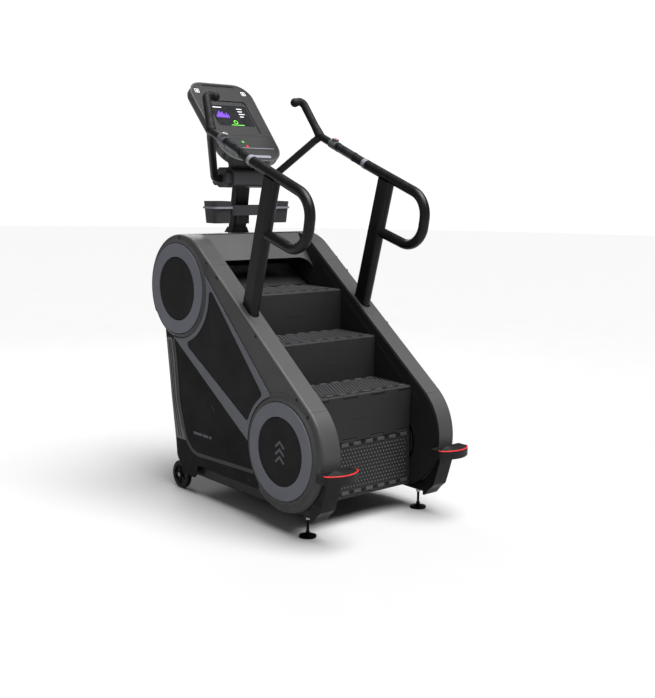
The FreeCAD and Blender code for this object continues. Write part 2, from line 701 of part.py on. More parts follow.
def escutcheon():
    """The raised oval collar, moulded on the rail cover, where the post passes through."""
    way = math.degrees(math.atan2(643.0, 809.0))
    ring = prism_z([(-36, -84, 35.5), (36, -84, 35.5), (36, 84, 35.5), (-36, 84, 35.5)], -6, 1.5)
    ring.rotate(Vector(0, 0, 0), EX, way)
    ring.translate(Vector(RAIL_X, -596.0, band_height(-596.0)))
    return ring.cut(post(3.0))


def band_height(y):
    """Height of the sloping top of the side covers."""
    a = Vector(0, UPPER_OUTLINE[0], UPPER_OUTLINE[1])
    b = Vector(0, LOWER_OUTLINE[0], LOWER_OUTLINE[1])
    along = (b - a).normalize()
    across = EX.cross(along) * -1
    if across.z < 0:
        across = across * -1
    top = a + across * UPPER_OUTLINE[2]
    low = b + across * LOWER_OUTLINE[2]
    return top.z + (y - top.y) * (low.z - top.z) / (low.y - top.y)


# ---- hood, rear cover, toe brackets and foot pads -----------------------------------------------
HOOD_BREAK = (-128.0, 1274.0)
HOOD_LIP = (-222.0, 1153.0)
HOOD_X = SKIRT_X[0] - 0.5


def hood():
    """The hood between the two upper covers, with an arched mouth over the top step."""
    roof = ring_x(UPPER_OUTLINE[:2], UPPER_OUTLINE[2] - SHELL, UPPER_OUTLINE[2], -HOOD_X, HOOD_X)
    wedge = prism_x([UPPER_OUTLINE[:2], (HOOD_BREAK[0] - 9, 1500), (900, 1500), (900, UPPER_OUTLINE[1])],
                    -HOOD_X, HOOD_X)
    roof = roof.common(wedge)
    slope = Vector(0, HOOD_LIP[0] - HOOD_BREAK[0], HOOD_LIP[1] - HOOD_BREAK[1])
    depth = slope.Length
    corner = 70.0
    w = HOOD_X
    points = [Vector(-w, 0, 0), Vector(w, 0, 0), Vector(w, depth + corner, 0)]
    edges = [Part.LineSegment(points[0], points[1]).toShape(), Part.LineSegment(points[1], points[2]).toShape()]
    bend = corner * (1 - math.cos(math.radians(45)))
    edges.append(Part.Arc(points[2], Vector(w - bend, depth + bend, 0), Vector(w - corner, depth, 0)).toShape())
    edges.append(Part.LineSegment(Vector(w - corner, depth, 0), Vector(corner - w, depth, 0)).toShape())
    edges.append(Part.Arc(Vector(corner - w, depth, 0), Vector(bend - w, depth + bend, 0),
                          Vector(-w, depth + corner, 0)).toShape())
    edges.append(Part.LineSegment(Vector(-w, depth + corner, 0), points[0]).toShape())
    front = Part.Face(Part.Wire(edges)).extrude(Vector(0, 0, SHELL))
    front.rotate(Vector(0, 0, 0), EX, math.degrees(math.atan2(slope.z, slope.y)))
    front.translate(Vector(0, HOOD_BREAK[0], HOOD_BREAK[1]))
    whole = fuse([roof, front])
    return whole.cut(mast_shape(2.0))


REAR_COVER_X = REAR_PANEL_X[0] - 20.5
REAR_SHOULDER_Z = 765.0


def rear_cover():
    """The back of the machine between the side panels."""
    outline = [(174.0, 1008.0), (172.0, 985.0, 60), (52.0, 772.0, 200), (2.0, 448.0, 400), (-32.0, 262.0, 100),
               (-38.0, 176.0)]
    inner = [(-42.0, 176.0), (-36.0, 262.0, 100), (-2.0, 448.0, 400), (48.0, 772.0, 200), (168.0, 985.0, 60),
             (170.0, 1008.0)]
    full = prism_x(outline + inner, -REAR_COVER_X, REAR_COVER_X)
    narrow = box(-HOOD_X, HOOD_X, -BIG, BIG, REAR_SHOULDER_Z, BIG)
    wide = box(-BIG, BIG, -BIG, BIG, 0, REAR_SHOULDER_Z)
    return full.common(fuse([narrow, wide]))


PAD_Z = (296.0, 336.0)
PAD_X = (250.0, 436.0)
PAD_FRONT = -1270.0
PAD_BACK = -1120.0


def toe_bracket():
    """The front corner bracket that closes the base rail and carries the foot pad's arm."""
    arm_top = PAD_Z[0] - 0.5
    outline = [(-985.0, 86.0), (-1089.0, 86.0, 10), (-1116.0, 119.0, 20), (-1146.0, 146.0, 20),
               (-1162.0, 196.0, 30), (-1191.0, arm_top), (-1100.0, arm_top), (-1040.0, 160.0), (-985.0, 158.5)]
    block = prism_x(outline, RAIL_X - 40, RAIL_X + 44)
    block = block.cut(cylinder_x(LOWER_OUTLINE[:2], LOWER_OUTLINE[2] + 1, RAIL_X - 60, RAIL_X + 60))
    block = block.cut(box(RAIL_X - 60, RAIL_X + 60, -1078, -900, 60, BASE_RAIL_Z[1] + 0.5))
    return biggest(block)


def foot_pad():
    """A foot pad in front of the lower cover, moulded with its rubber top."""
    middle = (PAD_X[0] + PAD_X[1]) / 2
    outline = [(PAD_X[0], PAD_BACK), (PAD_X[0], PAD_FRONT + 36, 24), (middle, PAD_FRONT - 27, 130),
               (PAD_X[1], PAD_FRONT + 36, 24), (PAD_X[1], PAD_BACK)]
    pad = prism_z(outline, *PAD_Z)
    pad = pad.cut(cylinder_x(LOWER_OUTLINE[:2], LOWER_OUTLINE[2] + 1, 200, 500))
    return biggest(pad)


# ---- feet and wheels ----------------------------------------------------------------------------
def levelling_foot():
    """A levelling foot: pad, and threaded stem in the base rail."""
    stem = Part.makeCylinder(6.0, 96, Vector(RAIL_X, FOOT_Y, 12), EZ)
    disc = Part.makeCylinder(39.0, 7, Vector(RAIL_X, FOOT_Y, 0), EZ)
    dome = Part.makeCone(39.0, 12.0, 9, Vector(RAIL_X, FOOT_Y, 7), EZ)
    swivel = Part.makeCylinder(9.0, 14, Vector(RAIL_X, FOOT_Y, 14), EZ)
    return fuse([disc, dome, swivel, stem])


def lock_nut():
    flat = 9.5 / math.cos(math.radians(30))
    points = [Vector(RAIL_X + flat * math.cos(math.radians(60 * i)),
                     FOOT_Y + flat * math.sin(math.radians(60 * i)), 79.0) for i in range(6)]
    wire = Part.makePolygon(points + [points[0]])
    nut = Part.Face(wire).extrude(Vector(0, 0, 10.7))
    return nut.cut(Part.makeCylinder(6.4, 20, Vector(RAIL_X, FOOT_Y, 75), EZ))


WHEEL_X = (354.0, 380.0)


def transport_wheel():
    """A moulded transport wheel: tyre, thin web and hub."""
    wheel = cylinder_x(WHEEL_AXIS, WHEEL_R, *WHEEL_X)
    wheel = wheel.makeFillet(6.0, edges_at_x(wheel, WHEEL_X[0]) + edges_at_x(wheel, WHEEL_X[1]))
    for x0, x1 in ((WHEEL_X[0], WHEEL_X[0] + 9), (WHEEL_X[1] - 9, WHEEL_X[1])):
        wheel = wheel.cut(ring_x(WHEEL_AXIS, 15.0, 47.0, x0, x1))
    return wheel.cut(cylinder_x(WHEEL_AXIS, 6.2, *WHEEL_X))


def wheel_axle():
    bolt = cylinder_x(WHEEL_AXIS, 5.9, LUG_X[0] - 10, WHEEL_X[1] + 4)
    head = cylinder_x(WHEEL_AXIS, 10.0, WHEEL_X[1] + 0.5, WHEEL_X[1] + 7)
    nut = cylinder_x(WHEEL_AXIS, 10.0, LUG_X[0] - 10, LUG_X[0] - 0.2)
    return fuse([bolt, head, nut])


# ---- mast, pod, tray and console ----------------------------------------------------------------
MAST_FOOT = Vector(0, 8.0, 1225.0)
MAST_TOP = Vector(0, -37.0, 1512.0)


def mast_shape(grow):
    lean = math.degrees(math.atan2(MAST_FOOT.y - MAST_TOP.y, MAST_TOP.z - MAST_FOOT.z))
    hx = 40.0 + grow
    hy = 29.0 + grow
    outline = [(-hx, -hy, 12 + grow), (hx, -hy, 12 + grow), (hx, hy, 12 + grow), (-hx, hy, 12 + grow)]
    solid = prism_z(outline, -12, (MAST_TOP - MAST_FOOT).Length)
    solid.rotate(Vector(0, 0, 0), EX, lean)
    solid.translate(MAST_FOOT)
    return solid.common(half_space(Vector(0, 0, BEAM_TOP[1] + 25.0), EZ))


def mast():
    return mast_shape(0.0).cut(mast_shape(-TUBE_WALL))


def mast_boot():
    """The flared boot where the mast leaves the hood."""
    top = UPPER_OUTLINE[1] + UPPER_OUTLINE[2]
    boot = Part.makeLoft([
        Part.Wire(path_edges([Vector(s * 56, t * 44 + 2, top - 2) for s, t in ((-1, -1), (1, -1), (1, 1), (-1, 1))],
                             [20] * 4, True)),
        Part.Wire(path_edges([Vector(s * 44, t * 34 - 2, top + 26) for s, t in ((-1, -1), (1, -1), (1, 1), (-1, 1))],
                             [14] * 4, True))], True)
    roof = cylinder_x(UPPER_OUTLINE[:2], UPPER_OUTLINE[2] + 0.2, -200, 200)
    return boot.cut(roof).cut(mast_shape(0.4))


def pod():
    """The moulded hub that joins the two arms to the mast."""
    profile = [(-122, 1512, 14), (-88, 1502, 14), (10, 1502, 14), (36, 1520, 14), (36, 1578, 16), (8, 1602, 14),
               (-84, 1602, 14), (-122, 1584, 16)]
    body = prism_x(profile, -104, 104)
    small = [(-104, 1520, 10), (-84, 1512, 10), (2, 1512, 10), (20, 1526, 10), (20, 1572, 10), (2, 1588, 10),
             (-80, 1588, 10), (-104, 1574, 10)]
    ends = [prism_x(small, 104, 136), prism_x(small, -136, -104)]
    whole = fuse([body] + ends)
    whole = whole.cut(cylinder_x((ARM_END.y, ARM_END.z), ARM_R + 0.5, 117.5, 150))
    whole = whole.cut(cylinder_x((ARM_END.y, ARM_END.z), ARM_R + 0.5, -150, -117.5))
    return whole.cut(mast_shape(0.3))


CUP_X = 178.0
CUP_Y = -88.0
CUP_TOP_Z = 1436.0
CUP_FLOOR_Z = 1328.0
CUP_HALF = (56.0, 47.0)       # half width at the top and at the floor
CUP_WALL = 3.5
CUP_BAND = (59.0, 1409.0, 1400.0)
TRAY_HALF_X = 122.0
TRAY_Y = (-130.0, -34.0)
TRAY_Z = (1366.0, 1416.0)


def cup_walls(half_top, half_low, z_top, z_low):
    def ring(half, z):
        points = [Vector(CUP_X + s * half, CUP_Y + t * half, z) for s, t in ((-1, -1), (1, -1), (1, 1), (-1, 1))]
        return Part.Wire(path_edges(points, [half * 0.42] * 4, True))
    return Part.makeLoft([ring(half_top, z_top), ring(half_low, z_low)], True)


def tray_bridge():
    """The shallow tray between the cup holders, with the plate that bolts it to the mast."""
    def slab(inset, z0, z1):
        x = TRAY_HALF_X - inset
        front = TRAY_Y[0] + inset
        back = TRAY_Y[1] - inset
        return prism_z([(-x, front, 24 - inset), (x, front, 24 - inset), (x, back, 16 - inset),
                        (-x, back, 16 - inset)], z0, z1)

    outer = slab(0, *TRAY_Z)
    pocket = slab(7, TRAY_Z[0] + 6, TRAY_Z[1] + 6)
    tray = outer.cut(pocket)
    plate = box(-32, 32, -62, -18, 1322, 1372)
    plate = plate.cut(half_space(Vector(0, -62, 1322), Vector(0, -0.97, -0.25)))
    return biggest(fuse([tray, plate]).cut(mast_shape(0.5)))


def cup_holder():
    """A rounded square cup holder."""
    inside = cup_walls(CUP_HALF[0] - CUP_WALL, CUP_HALF[1] - CUP_WALL, CUP_TOP_Z + 4, CUP_FLOOR_Z + 5)
    outside = cup_walls(*CUP_HALF, CUP_TOP_Z, CUP_FLOOR_Z)
    half, high, low = CUP_BAND
    cup = outside.fuse(cup_walls(half, half, high, low)).cut(inside)
    return biggest(cup.cut(box(0, TRAY_HALF_X + 0.2, -200, 100, CUP_FLOOR_Z - 20, CUP_TOP_Z + 20)))


CONSOLE_ORIGIN = Vector(0, CONSOLE_TOP[0], CONSOLE_TOP[1])
TILT = math.radians(CONSOLE_TILT)
CONSOLE_DOWN = Vector(0, -math.cos(TILT), -math.sin(TILT))
CONSOLE_FACE = Vector(0, -math.sin(TILT), math.cos(TILT))


def on_console(u, v, w=0.0):
    """A point on the console: across, down from its top edge, and out from its face."""
    return CONSOLE_ORIGIN + EX * u + CONSOLE_DOWN * v + CONSOLE_FACE * w


def console_prism(outline, w0, w1):
    """Extrude an outline of (u, v, corner radius) between two depths below the face."""
    points = [on_console(p[0], p[1], w0) for p in outline]
    radii = [p[2] if len(p) > 2 else 0 for p in outline]
    face = Part.Face(Part.Wire(path_edges(points, radii, True)))
    return face.extrude(CONSOLE_FACE * (w1 - w0))


def console_outline(inset):
    wide = 193.0 - inset
    low = 181.0 - inset
    top = inset
    end = CONSOLE_LENGTH - inset
    return [(-wide, top, 92 - inset), (wide, top, 92 - inset), (low, end, 104 - inset), (-low, end, 104 - inset)]


FACE_DEPTH = 5.0
SCREEN_U = (-112.0, 112.0)
SCREEN_V = (150.0, 290.0)


def console_housing():
    """The console's rear housing, a deep tray with rounded edges."""
    body = console_prism(console_outline(0), -CONSOLE_DEPTH, 0)
    rims = [e for e in body.Edges if all(abs((v.Point - CONSOLE_ORIGIN).dot(CONSOLE_FACE) + CONSOLE_DEPTH) < 1e-3
                                         for v in e.Vertexes)]
    body = body.makeFillet(22.0, rims)
    pocket = console_prism(console_outline(9.0), -FACE_DEPTH - 30, 1)
    return body.cut(pocket)


def console_neck():
    """The swept back housing and neck that carry the console on the pod."""
    foot = prism_z([(-52, -100, 16), (52, -100, 16), (52, 14, 16), (-52, 14, 16)], 1603, 1606)
    shell = Part.makeLoft([
        Part.Wire(path_edges([Vector(s * 50, y, 1602.5) for s, y in ((-1, -94), (1, -94), (1, 12), (-1, 12))],
                             [16] * 4, True)),
        Part.Wire(path_edges([Vector(s * 62, y, 1650) for s, y in ((-1, -104), (1, -104), (1, 20), (-1, 20))],
                             [20] * 4, True)),
        Part.Wire(path_edges([Vector(s * 96, y, 1720) for s, y in ((-1, -84), (1, -84), (1, 44), (-1, 44))],
                             [30] * 4, True)),
        Part.Wire(path_edges([Vector(s * 104, y, 1800) for s, y in ((-1, -20), (1, -20), (1, 66), (-1, 66))],
                             [30] * 4, True))], True)
    below = half_space(on_console(0, 0, -CONSOLE_DEPTH - 0.2), CONSOLE_FACE * -1)
    return biggest(fuse([foot, shell]).common(below))


BUTTON_V = {"go": 405.0, "stop": 434.0}
BUTTON_U = {"go": -26.0, "stop": -12.0}
BUTTON_R = 8.0


def console_face():
    """The front moulding of the console, with the screen window and the two button holes."""
    face = console_prism(console_outline(9.4), -FACE_DEPTH - 30, -FACE_DEPTH + 3)
    recess = console_prism([(-122, 120, 20), (122, 120, 20), (122, 345, 14), (-122, 345, 14)],
                           -FACE_DEPTH - 1, 0)
    window = console_prism([(SCREEN_U[0], SCREEN_V[0], 6), (SCREEN_U[1], SCREEN_V[0], 6),
                            (SCREEN_U[1], SCREEN_V[1], 6), (SCREEN_U[0], SCREEN_V[1], 6)], -FACE_DEPTH - 9, 0)
    face = face.cut(recess).cut(window)
    slot = console_prism([(-98, 14, 4), (98, 14, 4), (98, 25, 4), (-98, 25, 4)], -FACE_DEPTH - 9, 0)
    face = face.cut(slot)
    for name in ("go", "stop"):
        centre = on_console(BUTTON_U[name], BUTTON_V[name], -FACE_DEPTH - 12)
        face = face.cut(Part.makeCylinder(BUTTON_R + 0.4, 30, centre, CONSOLE_FACE))
    return face


def console_screen():
    g = 0.5
    return console_prism([(SCREEN_U[0] + g, SCREEN_V[0] + g, 6), (SCREEN_U[1] - g, SCREEN_V[0] + g, 6),
                          (SCREEN_U[1] - g, SCREEN_V[1] - g, 6), (SCREEN_U[0] + g, SCREEN_V[1] - g, 6)],
                         -FACE_DEPTH - 9, -FACE_DEPTH - 3)


def console_button(name):
    centre = on_console(BUTTON_U[name], BUTTON_V[name], -FACE_DEPTH - 7)
    return Part.makeCylinder(BUTTON_R, 13, centre, CONSOLE_FACE)


def power_inlet():
    """The mains inlet in the foot of the rear cover."""
    body = box(-26, 26, -70, -42.2, 196, 228)
    return body


# ---- all the pieces -----------------------------------------------------------------------------
def pieces():
    upper, rail, lower = side_covers()
    found = {
        "base_frame": base_frame(),
        "side_plates": side_plates(),
        "mast": mast(),
        "handrails": both_sides(handrail()),
        "upper_handles": both_sides(upper_handle()),
        "hand_grips": Part.makeCompound([horn(), mirrored(horn()), grip_sleeve(), mirrored(grip_sleeve())]),
        "pulse_sensors": both_sides(pulse_sensor()),
        "button_housings": both_sides(button_housing()),
        "handle_button_right": handle_button(),
        "handle_button_left": mirrored(handle_button()),
        "upper_covers": both_sides(upper),
        "rail_covers": both_sides(rail),
        "lower_covers": both_sides(lower),
        "light_bands": both_sides(light_band()),
        "centre_panels": both_sides(centre_shape(1.5, COVER_X[1], COVER_X[1] + 2.5)),
        "disc_rings": Part.makeCompound([disc_ring(UPPER_DISC), disc_ring(LOWER_DISC),
                                         mirrored(disc_ring(UPPER_DISC)), mirrored(disc_ring(LOWER_DISC))]),
        "disc_caps": Part.makeCompound([disc_cap(UPPER_DISC), disc_cap(LOWER_DISC),
                                        mirrored(disc_cap(UPPER_DISC)), mirrored(disc_cap(LOWER_DISC))]),
        "rear_side_panels": both_sides(rear_side_panel()),
        "inner_skirts": both_sides(inner_skirt()),
        "hood": hood(),
        "rear_cover": rear_cover(),
        "toe_brackets": both_sides(toe_bracket()),
        "foot_pads": both_sides(foot_pad()),
        "front_treads": Part.makeCompound([tread(1), tread(2)]),
        "front_risers": Part.makeCompound([riser(1), riser(2)]),
        "return_treads": Part.makeCompound([tread(5), tread(6)]),
        "return_risers": Part.makeCompound([riser(5), riser(6)]),
        "front_rods": root_rods((0, 1, 2)),
        "return_rods": root_rods((4, 5, 6)),
        "lower_shaft": Part.makeCompound([sprocket_shaft(LOWER_SHAFT), root_rods((3,))]),
        "upper_shaft": Part.makeCompound([sprocket_shaft(UPPER_SHAFT), root_rods((7,)), drive_pulley()]),
        "chains": both_sides(chain()),
        "bearings": bearings(),
        "drive_belt": drive_belt(),
        "alternator": alternator(),
        "alternator_rotor": alternator_rotor(),
        "levelling_foot_right": levelling_foot(),
        "levelling_foot_left": mirrored(levelling_foot()),
        "transport_wheel_right": transport_wheel(),
        "transport_wheel_left": mirrored(transport_wheel()),
        "axle_bolts_and_nuts": Part.makeCompound([wheel_axle(), mirrored(wheel_axle()), lock_nut(),
                                                  mirrored(lock_nut())]),
        "mast_boot": mast_boot(),
        "pod": pod(),
        "tray": tray_bridge(),
        "cup_holders": both_sides(cup_holder()),
        "console_neck": console_neck(),
        "console_housing": console_housing(),
        "console_face": console_face(),
        "console_screen": console_screen(),
        "stop_button": console_button("stop"),
        "go_button": console_button("go"),
        "power_inlet": power_inlet(),
    }
    for k in (3, 4, 7, 8):
        found["tread_%d" % k] = tread(k)
        found["riser_%d" % k] = riser(k)
    return found


def main():
    os.makedirs("parts", exist_ok=True)
    for name, shape in pieces().items():
        shape.translate(Vector(0, DATUM_TO_CENTRE, 0))
        shape.exportStep("parts/%s.step" % name)


main()
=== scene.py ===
"""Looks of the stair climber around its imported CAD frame. Metres, +Z up, the user stands at -Y."""

import json
import math

import bmesh
import bpy
from mathutils import Matrix, Vector


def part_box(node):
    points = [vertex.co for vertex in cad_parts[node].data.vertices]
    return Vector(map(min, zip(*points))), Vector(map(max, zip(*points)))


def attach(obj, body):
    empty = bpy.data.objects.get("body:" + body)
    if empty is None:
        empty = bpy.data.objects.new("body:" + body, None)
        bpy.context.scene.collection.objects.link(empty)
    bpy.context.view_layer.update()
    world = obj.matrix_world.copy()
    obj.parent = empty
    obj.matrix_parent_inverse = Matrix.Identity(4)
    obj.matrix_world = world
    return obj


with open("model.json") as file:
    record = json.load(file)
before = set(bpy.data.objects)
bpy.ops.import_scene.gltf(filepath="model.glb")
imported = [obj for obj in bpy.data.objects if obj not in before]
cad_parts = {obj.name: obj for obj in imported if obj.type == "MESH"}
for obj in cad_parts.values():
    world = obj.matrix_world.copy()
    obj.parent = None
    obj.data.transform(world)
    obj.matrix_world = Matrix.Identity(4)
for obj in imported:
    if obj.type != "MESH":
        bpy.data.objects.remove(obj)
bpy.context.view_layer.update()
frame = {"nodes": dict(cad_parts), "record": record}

EX = Vector((1, 0, 0))
EY = Vector((0, 1, 0))
EZ = Vector((0, 0, 1))
LEFT_AND_RIGHT = (("left", -1), ("right", 1))

# ---- places and sizes, read from the frame -------------------------------------------------------
DISC_CAP_R = 0.153                          # the dark cap inside each disc ring
UPPER_R = 0.265                             # outline of the upper cover
caps_low, caps_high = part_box("disc_caps")
UPPER_DISC = (caps_high.y - DISC_CAP_R, caps_high.z - DISC_CAP_R)
LOWER_DISC = (caps_low.y + DISC_CAP_R, caps_low.z + DISC_CAP_R)
CAP_FACE_X = caps_high.x
COVER_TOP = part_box("upper_covers")[1]
UPPER_CENTRE = (COVER_TOP.y - UPPER_R, COVER_TOP.z - UPPER_R)
COVER_FACE_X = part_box("rail_covers")[1].x
RAIL_X = (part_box("levelling_foot_right")[0].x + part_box("levelling_foot_right")[1].x) / 2
TREAD_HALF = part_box("tread_3")[1].x
DATUM_Y = UPPER_CENTRE[0] + 0.086           # the y where the machine's own measures start

HANDLE_START = Vector((RAIL_X, DATUM_Y - 0.601, 1.622))
HANDLE_END = Vector((0.334, DATUM_Y - 0.262, 1.763))
TUBE_R = 0.024

CONSOLE_TILT = math.radians(48)
CONSOLE_ORIGIN = Vector((0, DATUM_Y + 0.184, 2.028))
CONSOLE_DOWN = Vector((0, -math.cos(CONSOLE_TILT), -math.sin(CONSOLE_TILT)))
CONSOLE_OUT = Vector((0, -math.sin(CONSOLE_TILT), math.cos(CONSOLE_TILT)))
FACE_W = -0.002                             # the console face, below its housing's edge
SCREEN_W = -0.008


# ---- mesh helpers --------------------------------------------------------------------------------
class Build:
    """Collects the vertices and faces of many small shapes into one mesh."""

    def __init__(self):
        self.points = []
        self.faces = []
        self.tones = []

    def add(self, shape, place=None, tone=0):
        start = len(self.points)
        points, faces = shape
        place = place or Matrix.Identity(4)
        self.points += [place @ Vector(p) for p in points]
        self.faces += [[start + i for i in face] for face in faces]
        self.tones += tone if isinstance(tone, list) else [tone] * len(faces)
        return self

    def piece(self, name, body, materials, slot, smooth=True):
        mesh = bpy.data.meshes.new(name)
        mesh.from_pydata([tuple(p) for p in self.points], [], self.faces)
        for material in materials:
            mesh.materials.append(material)
        mesh.polygons.foreach_set("material_index", self.tones)
        mesh.polygons.foreach_set("use_smooth", [False] * len(self.faces))
        mesh.validate()
        outward = bmesh.new()
        outward.from_mesh(mesh)
        bmesh.ops.recalc_face_normals(outward, faces=outward.faces)
        outward.to_mesh(mesh)
        outward.free()
        mesh.update()
        obj = bpy.data.objects.new(name, mesh)
        bpy.context.scene.collection.objects.link(obj)
        if smooth:
            mesh.shade_smooth()
            mesh.set_sharp_from_angle(angle=math.radians(38))
        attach(obj, body)
        return obj


def placed(origin, x_axis, y_axis, z_axis):
    """A matrix whose columns are three axes and an origin."""
    return Matrix((
        (x_axis.x, y_axis.x, z_axis.x, origin.x),
        (x_axis.y, y_axis.y, z_axis.y, origin.y),
        (x_axis.z, y_axis.z, z_axis.z, origin.z),
        (0, 0, 0, 1),
    ))


def facing(origin, out, up=EZ):
    """A place whose Z axis points out of a surface."""
    out = out.normalized()
    if abs(out.dot(up)) > 0.99:
        up = EY
    side = up.cross(out).normalized()
    return placed(origin, side, out.cross(side), out)


def lathe(profile, count=24):
    """A turned solid: (radius, height) pairs from the bottom centre round to the top centre."""
    points = []
    faces = []
    for radius, height in profile:
        for i in range(count):
            angle = 2 * math.pi * i / count
            points.append((radius * math.cos(angle), radius * math.sin(angle), height))
    for row in range(len(profile) - 1):
        for i in range(count):
            j = (i + 1) % count
            faces.append((row * count + i, row * count + j, (row + 1) * count + j, (row + 1) * count + i))
    faces.append(tuple(reversed(range(count))))
    last = (len(profile) - 1) * count
    faces.append(tuple(range(last, last + count)))
    return points, faces


def ring(profile, count=48):
    """A turned ring: its section is a closed loop of (radius, height) pairs."""
    points = []
    faces = []
    n = len(profile)
    for radius, height in profile:
        for i in range(count):
            angle = 2 * math.pi * i / count
            points.append((radius * math.cos(angle), radius * math.sin(angle), height))
    for row in range(n):
        other = (row + 1) % n
        for i in range(count):
            j = (i + 1) % count
            faces.append((row * count + i, row * count + j, other * count + j, other * count + i))
    return points, faces


def sweep(path, up, section, closed=False):
    """A strip along a path: its section is a closed loop of (across, up) pairs."""
    points = []
    faces = []
    n = len(section)
    count = len(path)
    for i, here in enumerate(path):
        before = path[i - 1] if i or closed else here
        after = path[(i + 1) % count] if i < count - 1 or closed else here
        a = (here - before).normalized() if before is not here else (after - here).normalized()
        b = (after - here).normalized() if after is not here else a
        rise = up[i] if isinstance(up, list) else up
        tangent = (a + b).normalized()
        side = tangent.cross(rise).normalized()
        stretch = 1 / max(0.5, tangent.dot(b))
        for s, t in section:
            points.append(here + side * s * stretch + rise * t)
    runs = count if closed else count - 1
    for i in range(runs):
        k = (i + 1) % count
        for j in range(n):
            m = (j + 1) % n
            faces.append((i * n + j, k * n + j, k * n + m, i * n + m))
    if not closed:
        faces.append(tuple(range(n)))
        faces.append(tuple(reversed(range((count - 1) * n, count * n))))
    return points, faces


def rounded(corners, closed=False, steps=8):
    """A path through (point, cut) corners, each corner rounded over that cut length."""
    path = []
    count = len(corners)
    for i, (here, cut) in enumerate(corners):
        if not cut or (not closed and i in (0, count - 1)):
            path.append(here.copy())
            continue
        before = corners[i - 1][0]
        after = corners[(i + 1) % count][0]
        back = (before - here).normalized()
        on = (after - here).normalized()
        pull = math.sqrt(max(0.0, (1 - back.dot(on)) / 2))          # makes the corner a true arc
        for k in range(steps + 1):
            t = k / steps
            weights = ((1 - t) ** 2, 2 * t * (1 - t) * pull, t * t)
            total = (here + back * cut) * weights[0] + here * weights[1] + (here + on * cut) * weights[2]
            path.append(total / sum(weights))
    return path


def bar_section(width, height, bevel, below=0.0):
    """The section of a flat raised strip with chamfered top edges."""
    half = width / 2
    return [(-half, -below), (half, -below), (half, height - bevel), (half - bevel, height),
            (-half + bevel, height), (-half, height - bevel)]


def plate(outline, low, high, bevel=0.0):
    """A flat plate over a closed outline of (x, y) points, with a bevelled top edge."""
    count = len(outline)
    middle = Vector((sum(p[0] for p in outline) / count, sum(p[1] for p in outline) / count, 0))
    levels = [(0.0, low), (0.0, high - bevel), (bevel, high)] if bevel else [(0.0, low), (0.0, high)]
    points = []
    for inset, height in levels:
        for x, y in outline:
            inward = (middle - Vector((x, y, 0)))
            inward = inward.normalized() * inset if inward.length > inset else inward
            points.append((x + inward.x, y + inward.y, height))
    faces = [tuple(reversed(range(count)))]
    for level in range(len(levels) - 1):
        for i in range(count):
            j = (i + 1) % count
            faces.append((level * count + i, level * count + j, (level + 1) * count + j, (level + 1) * count + i))
    last = (len(levels) - 1) * count
    faces.append(tuple(range(last, last + count)))
    return points, faces


def rounded_rectangle(x0, x1, y0, y1, radius, steps=6):
    """The outline of a rectangle with round corners, as (x, y) points."""
    outline = []
    for cx, cy, start in ((x1 - radius, y0 + radius, -90), (x1 - radius, y1 - radius, 0),
                          (x0 + radius, y1 - radius, 90), (x0 + radius, y0 + radius, 180)):
        for k in range(steps + 1):
            angle = math.radians(start + 90 * k / steps)
            outline.append((cx + radius * math.cos(angle), cy + radius * math.sin(angle)))
    return outline


# ---- materials -----------------------------------------------------------------------------------
def linear(hex_colour):
    """A linear colour from an sRGB hex string."""
    values = [int(hex_colour[i:i + 2], 16) / 255 for i in (1, 3, 5)]
    return tuple(v / 12.92 if v <= 0.04045 else ((v + 0.055) / 1.055) ** 2.4 for v in values) + (1.0,)


